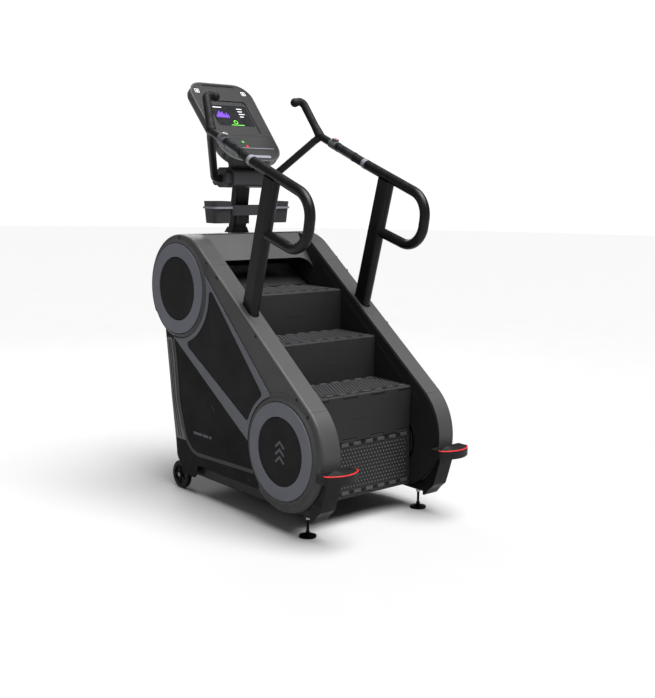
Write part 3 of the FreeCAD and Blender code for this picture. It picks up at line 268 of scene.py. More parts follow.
class Graph:
    """A short way to build one material's nodes."""

    def __init__(self, name):
        self.material = bpy.data.materials.new(name)
        self.material.use_nodes = True
        self.tree = self.material.node_tree
        self.shader = self.tree.nodes["Principled BSDF"]
        self.shader.inputs["Specular IOR Level"].default_value = 0.2
        self.place = self.node("ShaderNodeTexCoord").outputs["Object"]

    def node(self, kind, **settings):
        made = self.tree.nodes.new(kind)
        for key, value in settings.items():
            setattr(made, key, value)
        return made

    def link(self, source, target):
        self.tree.links.new(source, target)

    def stretched(self, scale, turn=(0.0, 0.0, 0.0)):
        mapping = self.node("ShaderNodeMapping")
        mapping.inputs["Scale"].default_value = scale
        mapping.inputs["Rotation"].default_value = turn
        self.link(self.place, mapping.inputs["Vector"])
        return mapping.outputs["Vector"]

    def noise(self, scale, detail=3.0, roughness=0.55, vector=None):
        made = self.node("ShaderNodeTexNoise")
        made.inputs["Scale"].default_value = scale
        made.inputs["Detail"].default_value = detail
        made.inputs["Roughness"].default_value = roughness
        self.link(vector or self.place, made.inputs["Vector"])
        return made.outputs["Fac"]

    def cells(self, scale, vector=None):
        made = self.node("ShaderNodeTexVoronoi")
        made.inputs["Scale"].default_value = scale
        self.link(vector or self.place, made.inputs["Vector"])
        return made.outputs["Distance"]

    def ramp(self, source, stops):
        made = self.node("ShaderNodeValToRGB")
        elements = made.color_ramp.elements
        while len(elements) < len(stops):
            elements.new(0.5)
        for element, (position, colour) in zip(elements, stops):
            element.position = position
            element.color = colour
        self.link(source, made.inputs["Fac"])
        return made.outputs["Color"]

    def span(self, source, low, high):
        made = self.node("ShaderNodeMapRange")
        made.inputs["From Min"].default_value = 0.3
        made.inputs["From Max"].default_value = 0.7
        made.inputs["To Min"].default_value = low
        made.inputs["To Max"].default_value = high
        self.link(source, made.inputs["Value"])
        return made.outputs["Result"]

    def mix(self, factor, a, b):
        made = self.node("ShaderNodeMix", data_type="RGBA")
        self.link(factor, made.inputs["Factor"])
        for socket, value in ((made.inputs["A"], a), (made.inputs["B"], b)):
            if isinstance(value, tuple):
                socket.default_value = value
            else:
                self.link(value, socket)
        return made.outputs["Result"]

    def bump(self, source, depth, strength=1.0, under=None):
        made = self.node("ShaderNodeBump")
        made.inputs["Distance"].default_value = depth
        made.inputs["Strength"].default_value = strength
        self.link(source, made.inputs["Height"])
        if under:
            self.link(under, made.inputs["Normal"])
        return made.outputs["Normal"]

    def finish(self, colour, roughness, normal, **fixed):
        self.link(colour, self.shader.inputs["Base Color"])
        self.link(roughness, self.shader.inputs["Roughness"])
        self.link(normal, self.shader.inputs["Normal"])
        for key, value in fixed.items():
            self.shader.inputs[key.replace("_", " ")].default_value = value
        return self.material


def shades(hex_colour, spread):
    """Two tones of a colour, a little darker and a little lighter."""
    base = linear(hex_colour)
    dark = tuple(c * (1 - spread) for c in base[:3]) + (1.0,)
    pale = tuple(min(1.0, c * (1 + spread)) for c in base[:3]) + (1.0,)
    return dark, pale


def moulded(name, hex_colour, rough=0.45, grain=900.0, depth=0.00012, spread=0.12, **fixed):
    """Moulded plastic: spark-eroded grain, slow tone drift, rubbed patches of lower roughness."""
    g = Graph(name)
    dark, pale = shades(hex_colour, spread)
    tone = g.mix(g.noise(3.5, 2.0), dark, pale)
    specks = g.ramp(g.noise(grain * 0.7, 2.0), [(0.35, (0.9, 0.9, 0.9, 1)), (0.65, (1.1, 1.1, 1.1, 1))])
    tint = g.node("ShaderNodeMix", data_type="RGBA", blend_type="MULTIPLY")
    tint.inputs["Factor"].default_value = 0.6
    g.link(tone, tint.inputs["A"])
    g.link(specks, tint.inputs["B"])
    sheen = g.span(g.noise(9.0, 4.0), rough - 0.05, rough + 0.07)
    fine = g.bump(g.cells(grain), depth)
    return g.finish(tint.outputs["Result"], sheen, g.bump(g.noise(14.0, 2.0), 0.0006, 0.25, fine), **fixed)


def powder_coat(name, hex_colour, rough=0.38, **fixed):
    """Powder-coated steel: orange peel under a thin gloss, with dust dulling it in places."""
    g = Graph(name)
    dark, pale = shades(hex_colour, 0.18)
    tone = g.mix(g.noise(6.0, 3.0), dark, pale)
    sheen = g.span(g.noise(22.0, 4.0), rough - 0.07, rough + 0.1)
    peel = g.bump(g.noise(420.0, 1.0), 0.00022)
    return g.finish(tone, sheen, g.bump(g.cells(1300.0), 0.00005, 0.6, peel), **fixed)


def rubber(name, hex_colour, rough=0.62, pores=1500.0, **fixed):
    """Rubber or soft grip: fine pores and scuffed, paler patches."""
    g = Graph(name)
    dark, pale = shades(hex_colour, 0.25)
    scuff = g.ramp(g.noise(26.0, 5.0, 0.7), [(0.5, dark), (0.74, pale)])
    sheen = g.span(g.noise(40.0, 4.0), rough - 0.08, rough + 0.12)
    return g.finish(scuff, sheen, g.bump(g.cells(pores), 0.00018), **fixed)


def steel(name, hex_colour, rough=0.3, along="Y"):
    """Bright steel with fine lines along one axis and faint stains."""
    g = Graph(name)
    scale = {"X": (6.0, 240.0, 240.0), "Y": (240.0, 6.0, 240.0), "Z": (240.0, 240.0, 6.0)}[along]
    lines = g.noise(1.0, 4.0, 0.6, g.stretched(scale))
    dark, pale = shades(hex_colour, 0.2)
    tone = g.mix(lines, dark, pale)
    sheen = g.span(g.noise(30.0, 4.0), rough - 0.08, rough + 0.12)
    return g.finish(tone, sheen, g.bump(lines, 0.00012), Metallic=1.0)


def glass_screen(name, hex_colour):
    """A dark glossy display glass with faint smears."""
    g = Graph(name)
    dark, pale = shades(hex_colour, 0.15)
    tone = g.mix(g.noise(18.0, 2.0), dark, pale)
    smear = g.noise(1.0, 4.0, 0.7, g.stretched((30.0, 9.0, 12.0), (0.4, 0.0, 0.5)))
    return g.finish(tone, g.span(smear, 0.1, 0.26), g.bump(g.noise(60.0, 1.0), 0.00004), Coat_Weight=0.5)


def lit_mark(name, hex_colour, strength):
    """A lit graphic: small pixels with slightly uneven brightness."""
    g = Graph(name)
    dark, pale = shades(hex_colour, 0.2)
    tone = g.mix(g.noise(700.0, 1.0), dark, pale)
    g.link(tone, g.shader.inputs["Emission Color"])
    g.shader.inputs["Emission Strength"].default_value = strength
    return g.finish(tone, g.span(g.noise(80.0), 0.3, 0.45), g.bump(g.cells(2500.0), 0.00003))


MATERIALS = {
    "frame_black": powder_coat("frame_black", "#0b0b0c"),
    "handle_black": powder_coat("handle_black", "#141415", 0.34),
    "rubber_black": rubber("rubber_black", "#0f0f10"),
    "cover_charcoal": moulded("cover_charcoal", "#363636", 0.42),
    "band_grey": moulded("band_grey", "#4f5157", 0.4),
    "ring_grey": moulded("ring_grey", "#54565d", 0.36),
    "panel_black": moulded("panel_black", "#111111", 0.6, 420.0, 0.0003, Specular_IOR_Level=0.12),
    "rear_panel": moulded("rear_panel", "#0b0b0b", 0.6, Specular_IOR_Level=0.1),
    "skirt_grey": moulded("skirt_grey", "#1a1a1b", 0.5),
    "bracket_black": powder_coat("bracket_black", "#0e0e0f", 0.45, Specular_IOR_Level=0.12),
    "foot_pad": moulded("foot_pad", "#131314", 0.55, 700.0),
    "step_black": moulded("step_black", "#1f1f20", 0.5, 800.0),
    "bright_steel": steel("bright_steel", "#8d8f94"),
    "foot_steel": steel("foot_steel", "#121214", 0.4, "Z"),
    "belt_rubber": rubber("belt_rubber", "#101011"),
    "alternator_grey": steel("alternator_grey", "#83868a", 0.5, "X"),
    "wheel_rubber": rubber("wheel_rubber", "#0c0c0d", 0.55),
    "sensor_silver": steel("sensor_silver", "#4b4d51", 0.28, "Y"),
    "housing_grey": moulded("housing_grey", "#494b4e", 0.4),
    "button_red": moulded("button_red", "#a01818", 0.35, spread=0.06),
    "button_grey": moulded("button_grey", "#494b4e", 0.35),
    "button_green": moulded("button_green", "#3f8f36", 0.35, spread=0.06),
    "pod_grey": moulded("pod_grey", "#38383a", 0.4),
    "tray_black": moulded("tray_black", "#303032", 0.45),
    "console_grey": moulded("console_grey", "#3b3c3d", 0.26, 1200.0, 0.00004, Coat_Weight=0.4),
    "console_face": moulded("console_face", "#121213", 0.4, 1200.0, 0.00006),
    "screen": glass_screen("screen", "#141518"),
    "inlet_black": moulded("inlet_black", "#0d0d0e", 0.5),
}
STUD_TIP = moulded("stud_tip", "#505152", 0.4, 1500.0)
TRIM_RED = rubber("trim_red", "#d7262a", 0.4)
COLLAR_GREY = moulded("collar_grey", "#74767e", 0.35)
STRIPE_GREY = moulded("stripe_grey", "#2b2c2e", 0.42)
# Black for real seams and slots, and also for the painted shadow lines round the disc rings
SEAM_AND_SHADOW_BLACK = rubber("seam_and_shadow_black", "#0b0b0c", 0.7)
SCREW_BLACK = powder_coat("screw_black", "#0d0d0e", 0.3)
ICON_WHITE = lit_mark("icon_white", "#d9dadc", 0.25)
PLOT_PURPLE = lit_mark("plot_purple", "#5a2fb0", 0.9)
GAUGE_GREEN = lit_mark("gauge_green", "#58b52c", 0.9)
GLOSS_BLACK = moulded("gloss_black", "#080809", 0.18, 1200.0, 0.00003, Coat_Weight=0.6)
TAB_GREY = moulded("tab_grey", "#3a3b3c", 0.35, 1500.0)
MARK_GREY = moulded("mark_grey", "#43454b", 0.4)
CONTACT_STEEL = steel("contact_steel", "#45474a", 0.3, "Y")


# ---- camera, floor and light ---------------------------------------------------------------------
def make_camera():
    """The camera at the photograph's viewing angle."""
    azimuth = math.radians(-40.666)
    pitch = math.radians(9.091)
    roll = math.radians(0.842)
    ahead = Vector((-math.sin(azimuth) * math.cos(pitch), math.cos(azimuth) * math.cos(pitch), -math.sin(pitch)))
    right = Vector((math.cos(azimuth), math.sin(azimuth), 0))
    up = right.cross(ahead)
    turned = right * math.cos(roll) + up * math.sin(roll)
    upright = up * math.cos(roll) - right * math.sin(roll)
    data = bpy.data.cameras.new("camera")
    data.lens = 54.1
    data.sensor_width = 36
    data.sensor_fit = "AUTO"
    camera = bpy.data.objects.new("camera", data)
    bpy.context.scene.collection.objects.link(camera)
    camera.matrix_world = placed(Vector((-3.1627, -3.8799, 1.5408)), turned, upright, -ahead)
    bpy.context.scene.camera = camera


FLOOR_R = 30
FLOOR_SIDES = 64


def make_floor():
    """A wide pale floor, which isn't part of the machine."""
    g = Graph("floor_white")
    dark, pale = shades("#a2a2a2", 0.01)
    g.finish(g.mix(g.noise(2.0), dark, pale), g.span(g.noise(5.0), 0.6, 0.7), g.bump(g.noise(50.0), 0.00005))
    turns = [2 * math.pi * i / FLOOR_SIDES for i in range(FLOOR_SIDES)]
    edge = [(FLOOR_R * math.cos(turn), FLOOR_R * math.sin(turn), 0) for turn in turns]
    mesh = bpy.data.meshes.new("floor")
    mesh.from_pydata(edge, [], [tuple(range(FLOOR_SIDES))])
    mesh.materials.append(g.material)
    floor = bpy.data.objects.new("floor", mesh)
    bpy.context.scene.collection.objects.link(floor)


def area_light(name, place, target, size, power, tone=(1, 1, 1)):
    data = bpy.data.lights.new(name, "AREA")
    data.shape = "DISK"
    data.size = size
    data.energy = power
    data.color = tone
    light = bpy.data.objects.new(name, data)
    bpy.context.scene.collection.objects.link(light)
    light.location = place
    light.rotation_mode = "QUATERNION"
    light.rotation_quaternion = (Vector(target) - Vector(place)).to_track_quat("-Z", "Y")


SKY = 0.2                                   # strength of the sky that lights the machine
KEY = 8.6                                   # strength of the soft key light


def make_world():
    """A dim soft sky for lighting, seen as plain white behind the machine."""
    world = bpy.data.worlds.new("studio")
    world.use_nodes = True
    tree = world.node_tree
    sky = tree.nodes["Background"]
    sky.inputs["Color"].default_value = (1, 1, 1, 1)
    sky.inputs["Strength"].default_value = SKY
    backdrop = tree.nodes.new("ShaderNodeBackground")
    backdrop.inputs["Color"].default_value = (1, 1, 1, 1)
    backdrop.inputs["Strength"].default_value = 1.05
    seen = tree.nodes.new("ShaderNodeLightPath")
    blend = tree.nodes.new("ShaderNodeMixShader")
    tree.links.new(seen.outputs["Is Camera Ray"], blend.inputs["Fac"])
    tree.links.new(sky.outputs["Background"], blend.inputs[1])
    tree.links.new(backdrop.outputs["Background"], blend.inputs[2])
    tree.links.new(blend.outputs["Shader"], tree.nodes["World Output"].inputs["Surface"])
    bpy.context.scene.world = world


def make_lights():
    """A broad soft key from above the user's side, and two softboxes for sheen."""
    key = bpy.data.lights.new("key", "SUN")
    key.energy = KEY
    key.angle = math.radians(50)
    light = bpy.data.objects.new("key", key)
    bpy.context.scene.collection.objects.link(light)
    light.rotation_mode = "QUATERNION"
    light.rotation_quaternion = Vector((-0.12, 0.36, -1)).to_track_quat("-Z", "Y")
    area_light("rear_softbox", (1.2, 3.4, 3.4), (0, 0, 1.0), 2.0, 60)
    area_light("side_softbox", (-4.5, -0.6, 2.6), (0, 0, 0.9), 1.6, 16)


bpy.context.scene.view_settings.view_transform = "Standard"
make_world()
make_camera()
make_floor()
make_lights()


# ---- CAD nodes: each takes its slot's material ---------------------------------------------------
def paint_nodes():
    """Each CAD node keeps its shape and takes the material of its slot in the record."""
    for part in frame["record"]["subparts"]:
        node = frame["nodes"][part["node"]]
        node.data.materials.clear()
        node.data.materials.append(MATERIALS[part["material_slot"]])


paint_nodes()


# ---- places for the detail pieces ----------------------------------------------------------------
def body_of(node):
    """The CAD body that a node belongs to."""
    bodies = frame["record"]["behaviour"]["bodies"]
    return next(body for body, nodes in bodies.items() if node in nodes)


def from_side(side, y, z, x=0.0):
    """A point in the machine's own measures: side -1 or 1, y along it, z up, x out from its middle."""
    return Vector((side * x, DATUM_Y + y, z))


def side_place(side, x):
    """A place whose plane is the machine's side: its Z axis points outward."""
    return placed(Vector((side * x, DATUM_Y, 0)), EY * side, EZ, EX * side)


def side_outline(side, points):
    """An outline of (y, z) points as seen on that side's place."""
    turned = [(y * side, z) for y, z in points]
    return turned if side > 0 else turned[::-1]


def console_place():
    return placed(CONSOLE_ORIGIN, EX, -CONSOLE_DOWN, CONSOLE_OUT)


def console_patch(u0, u1, v0, v1, radius, low, high, bevel=0.0):
    """A flat rounded patch on the console: u across, v down from its top edge."""
    return plate(rounded_rectangle(u0, u1, -v1, -v0, radius), low, high, bevel)


SCREW = [(0.0075, -0.001), (0.0075, 0.001), (0.0062, 0.0019), (0.0034, 0.0019), (0.0031, 0.0002)]


# ---- studs on the steps --------------------------------------------------------------------------
STUD_PROFILE = [(0.0052, -0.0006), (0.0047, 0.0014), (0.0036, 0.0028), (0.0024, 0.0032)]
STUD_SIDES = 6
STUD_TONES = [0] * STUD_SIDES * 2 + [1] * STUD_SIDES + [0, 1]
STUD_PITCH = 0.0185
STUD_ROW = 0.0170
STUD_ROWS = 11
TAB_COUNT = 8
TAB_INSET = 0.017                           # from the edge of the walking face
STUD_MARGIN = 0.014
TREAD_FACES = {
    "front_treads": EZ, "tread_3": EZ, "tread_4": -EY, "return_treads": -EZ, "tread_7": -EZ, "tread_8": EY,
}


RISER_FACES = {"front_risers": -EY, "riser_3": -EY}


LEAST_FACE = 0.06                           # square metres; hinge knuckles are far smaller


def walking_faces(node, out):
    """The large flat faces of a node that look roughly one way: (centre, outward, along, depth) each."""
    mesh = frame["nodes"][node].data
    groups = []
    for polygon in mesh.polygons:
        if polygon.normal.dot(out) < 0.8:
            continue
        height = mesh.vertices[polygon.vertices[0]].co.dot(polygon.normal)
        for group in groups:
            if group[0].dot(polygon.normal) > 0.9995 and abs(group[1] - height) < 0.0008:
                break
        else:
            group = (polygon.normal.copy(), height, [])
            groups.append(group)
        group[2].append(polygon)
    faces = []
    for normal, height, polygons in groups:
        if sum(p.area for p in polygons) < LEAST_FACE:
            continue
        along = normal.cross(EX).normalized()
        spots = [mesh.vertices[i].co for p in polygons for i in p.vertices]
        low = min(p.dot(along) for p in spots)
        high = max(p.dot(along) for p in spots)
        faces.append((normal * height + along * (low + high) / 2, normal, along, high - low))
    return faces


def tread_studs(node, out):
    """Staggered studs with pale worn tips over one node's walking faces."""
    build = Build()
    stud = lathe(STUD_PROFILE, STUD_SIDES)
    for centre, normal, along, depth in walking_faces(node, out):
        for row in range(STUD_ROWS):
            offset = (row - (STUD_ROWS - 1) / 2) * STUD_ROW
            shift = STUD_PITCH / 2 if row % 2 else 0.0
            count = int((2 * TREAD_HALF - 0.02 - shift) / STUD_PITCH)
            for k in range(count):
                across = -TREAD_HALF + STUD_MARGIN + shift + k * STUD_PITCH
                here = centre + along * offset + EX * across
                build.add(stud, placed(here, EX, -along, normal), STUD_TONES)
    build.piece(node + "_studs", body_of(node), [MATERIALS["step_black"], STUD_TIP], "step_black")


def tread_tabs(node, out):
    """The hinge tabs along the nose and root edges of a node's treads, between dark slots."""
    tabs = Build()
    slots = Build()
    tab = plate(rounded_rectangle(-0.021, 0.021, -0.008, 0.008, 0.003, 3), -0.0006, 0.0022, 0.0010)
    slot = plate(rounded_rectangle(0.0245, 0.0485, -0.007, 0.007, 0.002, 3), -0.0006, 0.0004)
    for centre, normal, along, depth in walking_faces(node, out):
        for edge in (-1, 1):
            line = centre + along * edge * (depth / 2 - TAB_INSET)
            for k in range(TAB_COUNT):
                across = (k - (TAB_COUNT - 1) / 2) * 2 * TREAD_HALF / TAB_COUNT
                here = placed(line + EX * across, EX, -along, normal)
                tabs.add(tab, here)
                slots.add(slot, here)
    tabs.piece(node + "_tabs", body_of(node), [TAB_GREY], "step_black")
    slots.piece(node + "_slots", body_of(node), [SEAM_AND_SHADOW_BLACK], "step_black")


def riser_marks(node, out):
    """Plain low bars on a riser, where such a machine carries a moulded mark."""
    build = Build()
    for centre, normal, along, depth in walking_faces(node, out):
        for start, length in ((-0.060, 0.012), (-0.040, 0.030), (0.0, 0.048)):
            path = [centre + EX * start, centre + EX * (start + length)]
            build.add(sweep(path, normal, bar_section(0.012, 0.0007, 0.0003, 0.0006)))
    build.piece(node + "_bars", body_of(node), [MATERIALS["step_black"]], "step_black")


# ---- side covers ---------------------------------------------------------------------------------
COVER_SCREWS = [
    (-0.086, 1.260), (-0.318, 1.153), (-0.401, 1.091), (-0.704, 0.855), (-0.998, 0.616), (-1.074, 0.553),
    (-1.122, 0.179),
]
PANEL_SCREWS = [(-0.359, 0.475), (-0.372, 0.462), (-0.648, 0.184)]
PANEL_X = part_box("rear_side_panels")[1].x
STRIPE_PATH = [
    ((-0.018, 0.763), 0), ((-0.038, 0.668), 0.04), ((-0.061, 0.459), 0.04), ((-0.101, 0.335), 0.03),
    ((-0.131, 0.265), 0.02), ((-0.182, 0.223), 0.02), ((-0.232, 0.214), 0.01), ((-0.683, 0.228), 0),
]
COLUMN = [
    (-0.126, 0.264), (-0.036, 0.264), (-0.016, 0.350), (0.000, 0.448), (0.024, 0.610), (0.045, 0.764),
    (-0.004, 0.764), (-0.025, 0.668), (-0.048, 0.459), (-0.088, 0.335),
]


def side_screws():
    """The screws in the side covers and the rear side panels."""
    build = Build()
    for _, side in LEFT_AND_RIGHT:
        for spots, x in ((COVER_SCREWS, COVER_FACE_X), (PANEL_SCREWS, PANEL_X)):
            for y, z in spots:
                build.add(lathe(SCREW, 16), facing(from_side(side, y, z, x), EX * side))
    build.piece("side_screws", "machine", [SCREW_BLACK], "frame_black")


def panel_stripes():
    """The raised line that runs down the rear edge and along the foot of each rear side panel."""
    stripe = Build()
    for _, side in LEFT_AND_RIGHT:
        corners = [(from_side(side, y, z, PANEL_X), cut) for (y, z), cut in STRIPE_PATH]
        stripe.add(sweep(rounded(corners), EX * side, bar_section(0.019, 0.0016, 0.0012, 0.0006)))
    stripe.piece("panel_stripes", "machine", [STRIPE_GREY], "rear_panel")


def rear_columns():
    """The glossy black column down the rear edge of each side panel, with its moulded ribs."""
    build = Build()
    for _, side in LEFT_AND_RIGHT:
        build.add(plate(side_outline(side, COLUMN), -0.0004, 0.0014, 0.0008), side_place(side, PANEL_X))
        for share in (0.36, 0.68):
            path = []
            for (y0, z0), (y1, z1) in (((-0.104, 0.275), (-0.044, 0.275)), ((-0.083, 0.345), (-0.025, 0.345)),
                                       ((-0.044, 0.459), (-0.002, 0.459)), ((-0.021, 0.668), (0.028, 0.668)),
                                       ((-0.003, 0.750), (0.040, 0.750))):
                path.append(from_side(side, y0 + (y1 - y0) * share, z0 + (z1 - z0) * share, PANEL_X + 0.0012))
            build.add(sweep(path, EX * side, bar_section(0.006, 0.0022, 0.0016, 0.0006)))
    build.piece("rear_columns", "machine", [GLOSS_BLACK], "rear_panel")


def side_marks():
    """Generic marks: nested chevrons on the lower disc and plain slanted bars on the rear panel."""
    build = Build()
    for _, side in LEFT_AND_RIGHT:
        for row in range(3):
            base = LOWER_DISC[1] + 0.034 - 0.034 * row
            centre = LOWER_DISC[0] - DATUM_Y
            path = [from_side(side, centre + dy, base + dz, CAP_FACE_X) for dy, dz in
                    ((-0.030, -0.016), (0.0, 0.010), (0.030, -0.016))]
            build.add(sweep(path, EX * side, bar_section(0.011, 0.0008, 0.0003, 0.0006)))
        for k, (start, length) in enumerate(((-0.345, 0.022), (-0.315, 0.044), (-0.263, 0.072))):
            path = [from_side(side, start, 0.318, PANEL_X), from_side(side, start + length, 0.318, PANEL_X)]
            build.add(sweep(path, EX * side, bar_section(0.013, 0.0008, 0.0003, 0.0006)))
    build.piece("generic_marks", "machine", [MARK_GREY], "band_grey")


def disc_joint_shadows():
    """Dark lines round the discs at the foot of each ring: the joint, drawn black as painted shadow of the ring on
    the cover.
    """
    build = Build()
    for _, side in LEFT_AND_RIGHT:
        for (cy, cz), radius in ((UPPER_DISC, 0.2205), (LOWER_DISC, 0.2205)):
            centre = Vector((side * (COVER_FACE_X - 0.0006), cy, cz))
            # painted shadow: a thin black ring on the cover face where the proud disc ring's shade falls
            loop = ring([(radius - 0.0012, 0), (radius + 0.0012, 0), (radius + 0.0012, 0.0012),
                         (radius - 0.0012, 0.0012)], 96)
            build.add(loop, facing(centre, EX * side))
    build.piece("disc_joint_shadow_lines", "machine", [SEAM_AND_SHADOW_BLACK], "cover_charcoal")


SKIRT_THICK = 0.003


def skirt_lips():
    """Two raised lines on each inner skirt, parallel to the covers' sloping top edge."""
    build = Build()
    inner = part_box("inner_skirts")[1].x - SKIRT_THICK
    for _, side in LEFT_AND_RIGHT:
        for drop in (0.040, 0.052):
            start = Vector((side * inner, DATUM_Y - 0.33, 1.153 - drop))
            end = Vector((side * inner, DATUM_Y - 1.03, 0.583 - drop))
            build.add(sweep([start, end], EX * -side, bar_section(0.003, 0.0008, 0.0004, 0.0004)))
    build.piece("skirt_lips", "machine", [MATERIALS["skirt_grey"]], "skirt_grey")


# ---- handrails, horns and buttons ----------------------------------------------------------------
def handle_line(side):
    """The start and direction of the upper handle on one side."""
    start = Vector((side * HANDLE_START.x, HANDLE_START.y, HANDLE_START.z))
    end = Vector((side * HANDLE_END.x, HANDLE_END.y, HANDLE_END.z))
    return start, (end - start).normalized()


def tube_collars():
    """The pale collar at the mouth of each looped tube, and the two screws below it."""
    collars = Build()
    screws = Build()
    profile = [(0.0172, -0.0012), (0.0243, -0.0012), (0.0248, 0.002), (0.0248, 0.017), (0.0234, 0.0234),
               (0.0172, 0.0234)]
    for _, side in LEFT_AND_RIGHT:
        start, way = handle_line(side)
        collars.add(ring(profile, 40), facing(start, way))
        down = Vector((0, -1.014 + 0.601, 1.466 - 1.622)).normalized()
        for distance in (0.022, 0.058):
            spot = start + down * distance + EX * side * (TUBE_R - 0.0006)
            screws.add(lathe(SCREW, 14), facing(spot, EX * side))
    collars.piece("tube_collars", "machine", [COLLAR_GREY], "housing_grey")
    screws.piece("tube_screws", "machine", [SCREW_BLACK], "handle_black")


def sensor_rings():
    """The thin bright end rings and the long contact strips of the pulse sensors."""
    build = Build()
    for _, side in LEFT_AND_RIGHT:
        start, way = handle_line(side)
        for distance in (0.104, 0.218):
            edge = ring([(0.0205, -0.0008), (0.0216, -0.0008), (0.0216, 0.0008), (0.0205, 0.0008)], 40)
            build.add(edge, facing(start + way * distance, way))
        rise = (EZ - way * EZ.dot(way)).normalized()
        for turn in (-35, 35, 145, 215):
            across = way.cross(rise)
            out = rise * math.cos(math.radians(turn)) + across * math.sin(math.radians(turn))
            path = [start + way * d + out * 0.0206 for d in (0.112, 0.210)]
            build.add(sweep(path, out, bar_section(0.010, 0.0009, 0.0005, 0.0010)))
    build.piece("sensor_contacts", "machine", [CONTACT_STEEL], "sensor_silver")


def button_rings():
    """The pale ring on each thumb button."""
    for name, side in LEFT_AND_RIGHT:
        start, way = handle_line(side)
        rise = (EZ - way * EZ.dot(way)).normalized()
        low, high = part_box("handle_button_" + name)
        centre = (low + high) / 2 + rise * 0.0036
        edge = ring([(0.0088, -0.0006), (0.0112, -0.0006), (0.0108, 0.0014), (0.0092, 0.0014)], 32)
        build = Build().add(edge, facing(centre, rise))
        build.piece("button_ring_" + name, "thumb_button_" + name, [ICON_WHITE], "button_grey")


# ---- foot pads -----------------------------------------------------------------------------------
PAD_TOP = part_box("foot_pads")[1].z
PAD_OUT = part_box("foot_pads")[1].x
PAD_WIDE = 0.186
PAD_IN = PAD_OUT - PAD_WIDE
PAD_MIDDLE = (PAD_IN + PAD_OUT) / 2
PAD_RIBS = 7
PAD_RIB_PITCH = 0.0105


def pad_edge(side, inset, back, z):
    """A line round the pad's front, held in from its edge and running back to a given y."""
    slope = 0.063 / 0.093
    rise = inset * math.sqrt(1 + slope * slope)
    corner = -1.234 + rise - inset * slope
    return rounded([
        (from_side(side, back, z, PAD_IN + inset), 0),
        (from_side(side, corner, z, PAD_IN + inset), max(0.004, 0.0127 - inset * 0.5)),
        (from_side(side, -1.297 + rise, z, PAD_MIDDLE), 0.088 - inset),
        (from_side(side, corner, z, PAD_OUT - inset), max(0.004, 0.0127 - inset * 0.5)),
        (from_side(side, back, z, PAD_OUT - inset), 0),
    ], steps=10)


def pad_tops():
    """The rubber tread on each foot pad, and the red line round its front edge."""
    ribs = Build()
    trim = Build()
    for _, side in LEFT_AND_RIGHT:
        for k in range(PAD_RIBS):
            inset = 0.012 + k * PAD_RIB_PITCH
            path = pad_edge(side, inset, -1.186, PAD_TOP)
            ribs.add(sweep(path, EZ, bar_section(0.0056, 0.0022, 0.0014, 0.0006)))
        trim.add(sweep(pad_edge(side, 0.0012, -1.2265, PAD_TOP - 0.0030), EZ, bar_section(0.0044, 0.0042, 0.0012)))
    ribs.piece("pad_treads", "machine", [MATERIALS["rubber_black"]], "foot_pad")
    trim.piece("pad_trims", "machine", [TRIM_RED], "foot_pad")


# ---- console, tray and cups ----------------------------------------------------------------------
def console_lines():
    """The seam, the slot, the ridge below the keys, and the pale strip at the foot of the console."""
    dark = Build()
    seam = console_patch(-0.168, 0.168, 0.3590, 0.3604, 0.0006, FACE_W - 0.0005, FACE_W + 0.0003)
    slot = console_patch(-0.100, 0.100, 0.0130, 0.0260, 0.004, FACE_W - 0.0030, FACE_W - 0.0022)
    dark.add(seam, console_place())
    dark.add(slot, console_place())
    dark.piece("console_seams", "machine", [SEAM_AND_SHADOW_BLACK], "console_face")
    pale = Build()
    pale.add(console_patch(-0.150, 0.150, 0.4425, 0.4460, 0.0015, FACE_W - 0.001, FACE_W + 0.0022, 0.0008),
             console_place())
    pale.add(console_patch(-0.105, 0.105, 0.4900, 0.5050, 0.0060, FACE_W - 0.001, FACE_W + 0.0008, 0.0004),
             console_place())
    pale.piece("console_ridge", "machine", [COLLAR_GREY], "console_grey")


def console_icons():
    """Two plain square icons with a simple figure in each."""
    build = Build()
    for u in (-0.143, 0.143):
        for u0, u1, v0, v1 in ((-0.0125, 0.0125, 0.0475, 0.0500), (-0.0125, 0.0125, 0.0700, 0.0725),
                               (-0.0125, -0.0100, 0.0500, 0.0700), (0.0100, 0.0125, 0.0500, 0.0700),
                               (-0.0035, 0.0035, 0.0540, 0.0660)):
            build.add(console_patch(u + u0, u + u1, v0, v1, 0.0006, FACE_W - 0.0004, FACE_W + 0.0003),
                      console_place())
    build.piece("console_icons", "machine", [ICON_WHITE], "console_face")


STEP_LEVELS = (0.3, 0.45, 0.7, 0.9, 0.6, 0.8, 0.5, 0.35, 0.65, 0.4)


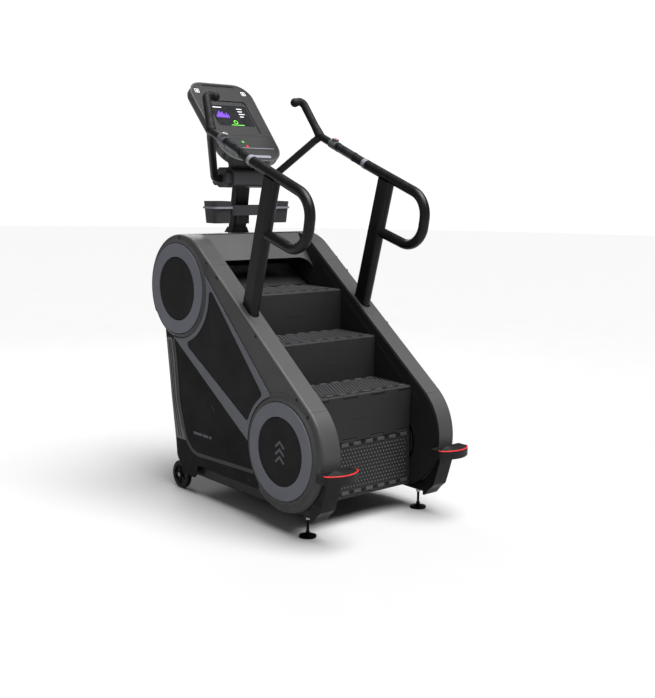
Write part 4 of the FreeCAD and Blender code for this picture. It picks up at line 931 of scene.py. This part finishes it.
def screen_graphics():
    """A stepped workout profile, a round gauge and rows of plain bars."""
    purple = Build()
    for k, level in enumerate(STEP_LEVELS):
        u = -0.094 + k * 0.0078
        purple.add(console_patch(u, u + 0.0062, 0.232 - 0.050 * level, 0.232, 0.0008, SCREEN_W - 0.0004,
                                 SCREEN_W + 0.0002), console_place())
    purple.piece("screen_profile", "machine", [PLOT_PURPLE], "screen")
    green = Build()
    gauge = placed(CONSOLE_ORIGIN + CONSOLE_DOWN * 0.262 + EX * 0.004 + CONSOLE_OUT * SCREEN_W, EX, -CONSOLE_DOWN,
                   CONSOLE_OUT)
    green.add(ring([(0.0085, -0.0004), (0.0125, -0.0004), (0.0125, 0.0003), (0.0085, 0.0003)], 32), gauge)
    green.add(console_patch(-0.030, 0.050, 0.2795, 0.2835, 0.0018, SCREEN_W - 0.0004, SCREEN_W + 0.0002),
              console_place())
    green.piece("screen_gauge", "machine", [GAUGE_GREEN], "screen")
    white = Build()
    for row, length in enumerate((0.034, 0.028, 0.036, 0.022)):
        v = 0.166 + row * 0.018
        white.add(console_patch(0.050, 0.050 + length, v, v + 0.0045, 0.0012, SCREEN_W - 0.0004,
                                SCREEN_W + 0.0002), console_place())
    white.add(console_patch(-0.094, -0.040, 0.160, 0.1645, 0.0012, SCREEN_W - 0.0004, SCREEN_W + 0.0002),
              console_place())
    white.piece("screen_figures", "machine", [ICON_WHITE], "screen")


CUP_BAND_SECTION = [(-0.0006, -0.0052), (0.0010, -0.0052), (0.0010, 0.0052), (-0.0006, 0.0052)]


def cup_bands():
    """The pale band under each cup's rim."""
    build = Build()
    low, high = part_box("cup_holders")
    half = (high.y - low.y) / 2
    middle_y = (high.y + low.y) / 2
    middle_x = high.x - half
    for _, side in LEFT_AND_RIGHT:
        corners = [(Vector((side * middle_x + sx * half, middle_y + sy * half, high.z - 0.0315)), half * 0.42)
                   for sx, sy in ((-1, -1), (1, -1), (1, 1), (-1, 1))]
        build.add(sweep(rounded(corners, closed=True), EZ, CUP_BAND_SECTION, closed=True))
    build.piece("cup_bands", "machine", [COLLAR_GREY], "tray_black")


def tray_screws():
    """The two screws that hold the tray's plate on the mast."""
    build = Build()
    for x in (-0.020, 0.020):
        spot = Vector((x, DATUM_Y - 0.0600, 1.352))
        build.add(lathe(SCREW, 14), facing(spot, Vector((0, -0.97, -0.25))))
    build.piece("tray_screws", "machine", [SCREW_BLACK], "frame_black")


# ---- wheels --------------------------------------------------------------------------------------
def wheel_spokes(name, side):
    """Five moulded spokes in the dished outer face of a wheel."""
    low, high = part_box("transport_wheel_" + name)
    centre = (low + high) / 2
    face = Vector((side * max(abs(low.x), abs(high.x)), centre.y, centre.z))
    build = Build()
    for k in range(5):
        angle = 2 * math.pi * k / 5
        out = EY * math.cos(angle) + EZ * math.sin(angle)
        path = [face - EX * side * 0.0095 + out * d for d in (0.0150, 0.0468)]
        build.add(sweep(path, EX * side, bar_section(0.009, 0.0062, 0.0015)))
    build.piece("spokes_" + name, "wheel_" + name, [MATERIALS["wheel_rubber"]], "wheel_rubber")


for node, out in TREAD_FACES.items():
    tread_studs(node, out)
    tread_tabs(node, out)
for node, out in RISER_FACES.items():
    riser_marks(node, out)
side_screws()
panel_stripes()
rear_columns()
side_marks()
disc_joint_shadows()
skirt_lips()
tube_collars()
sensor_rings()
button_rings()
pad_tops()
console_lines()
console_icons()
screen_graphics()
cup_bands()
tray_screws()
for name, side in LEFT_AND_RIGHT:
    wheel_spokes(name, side)
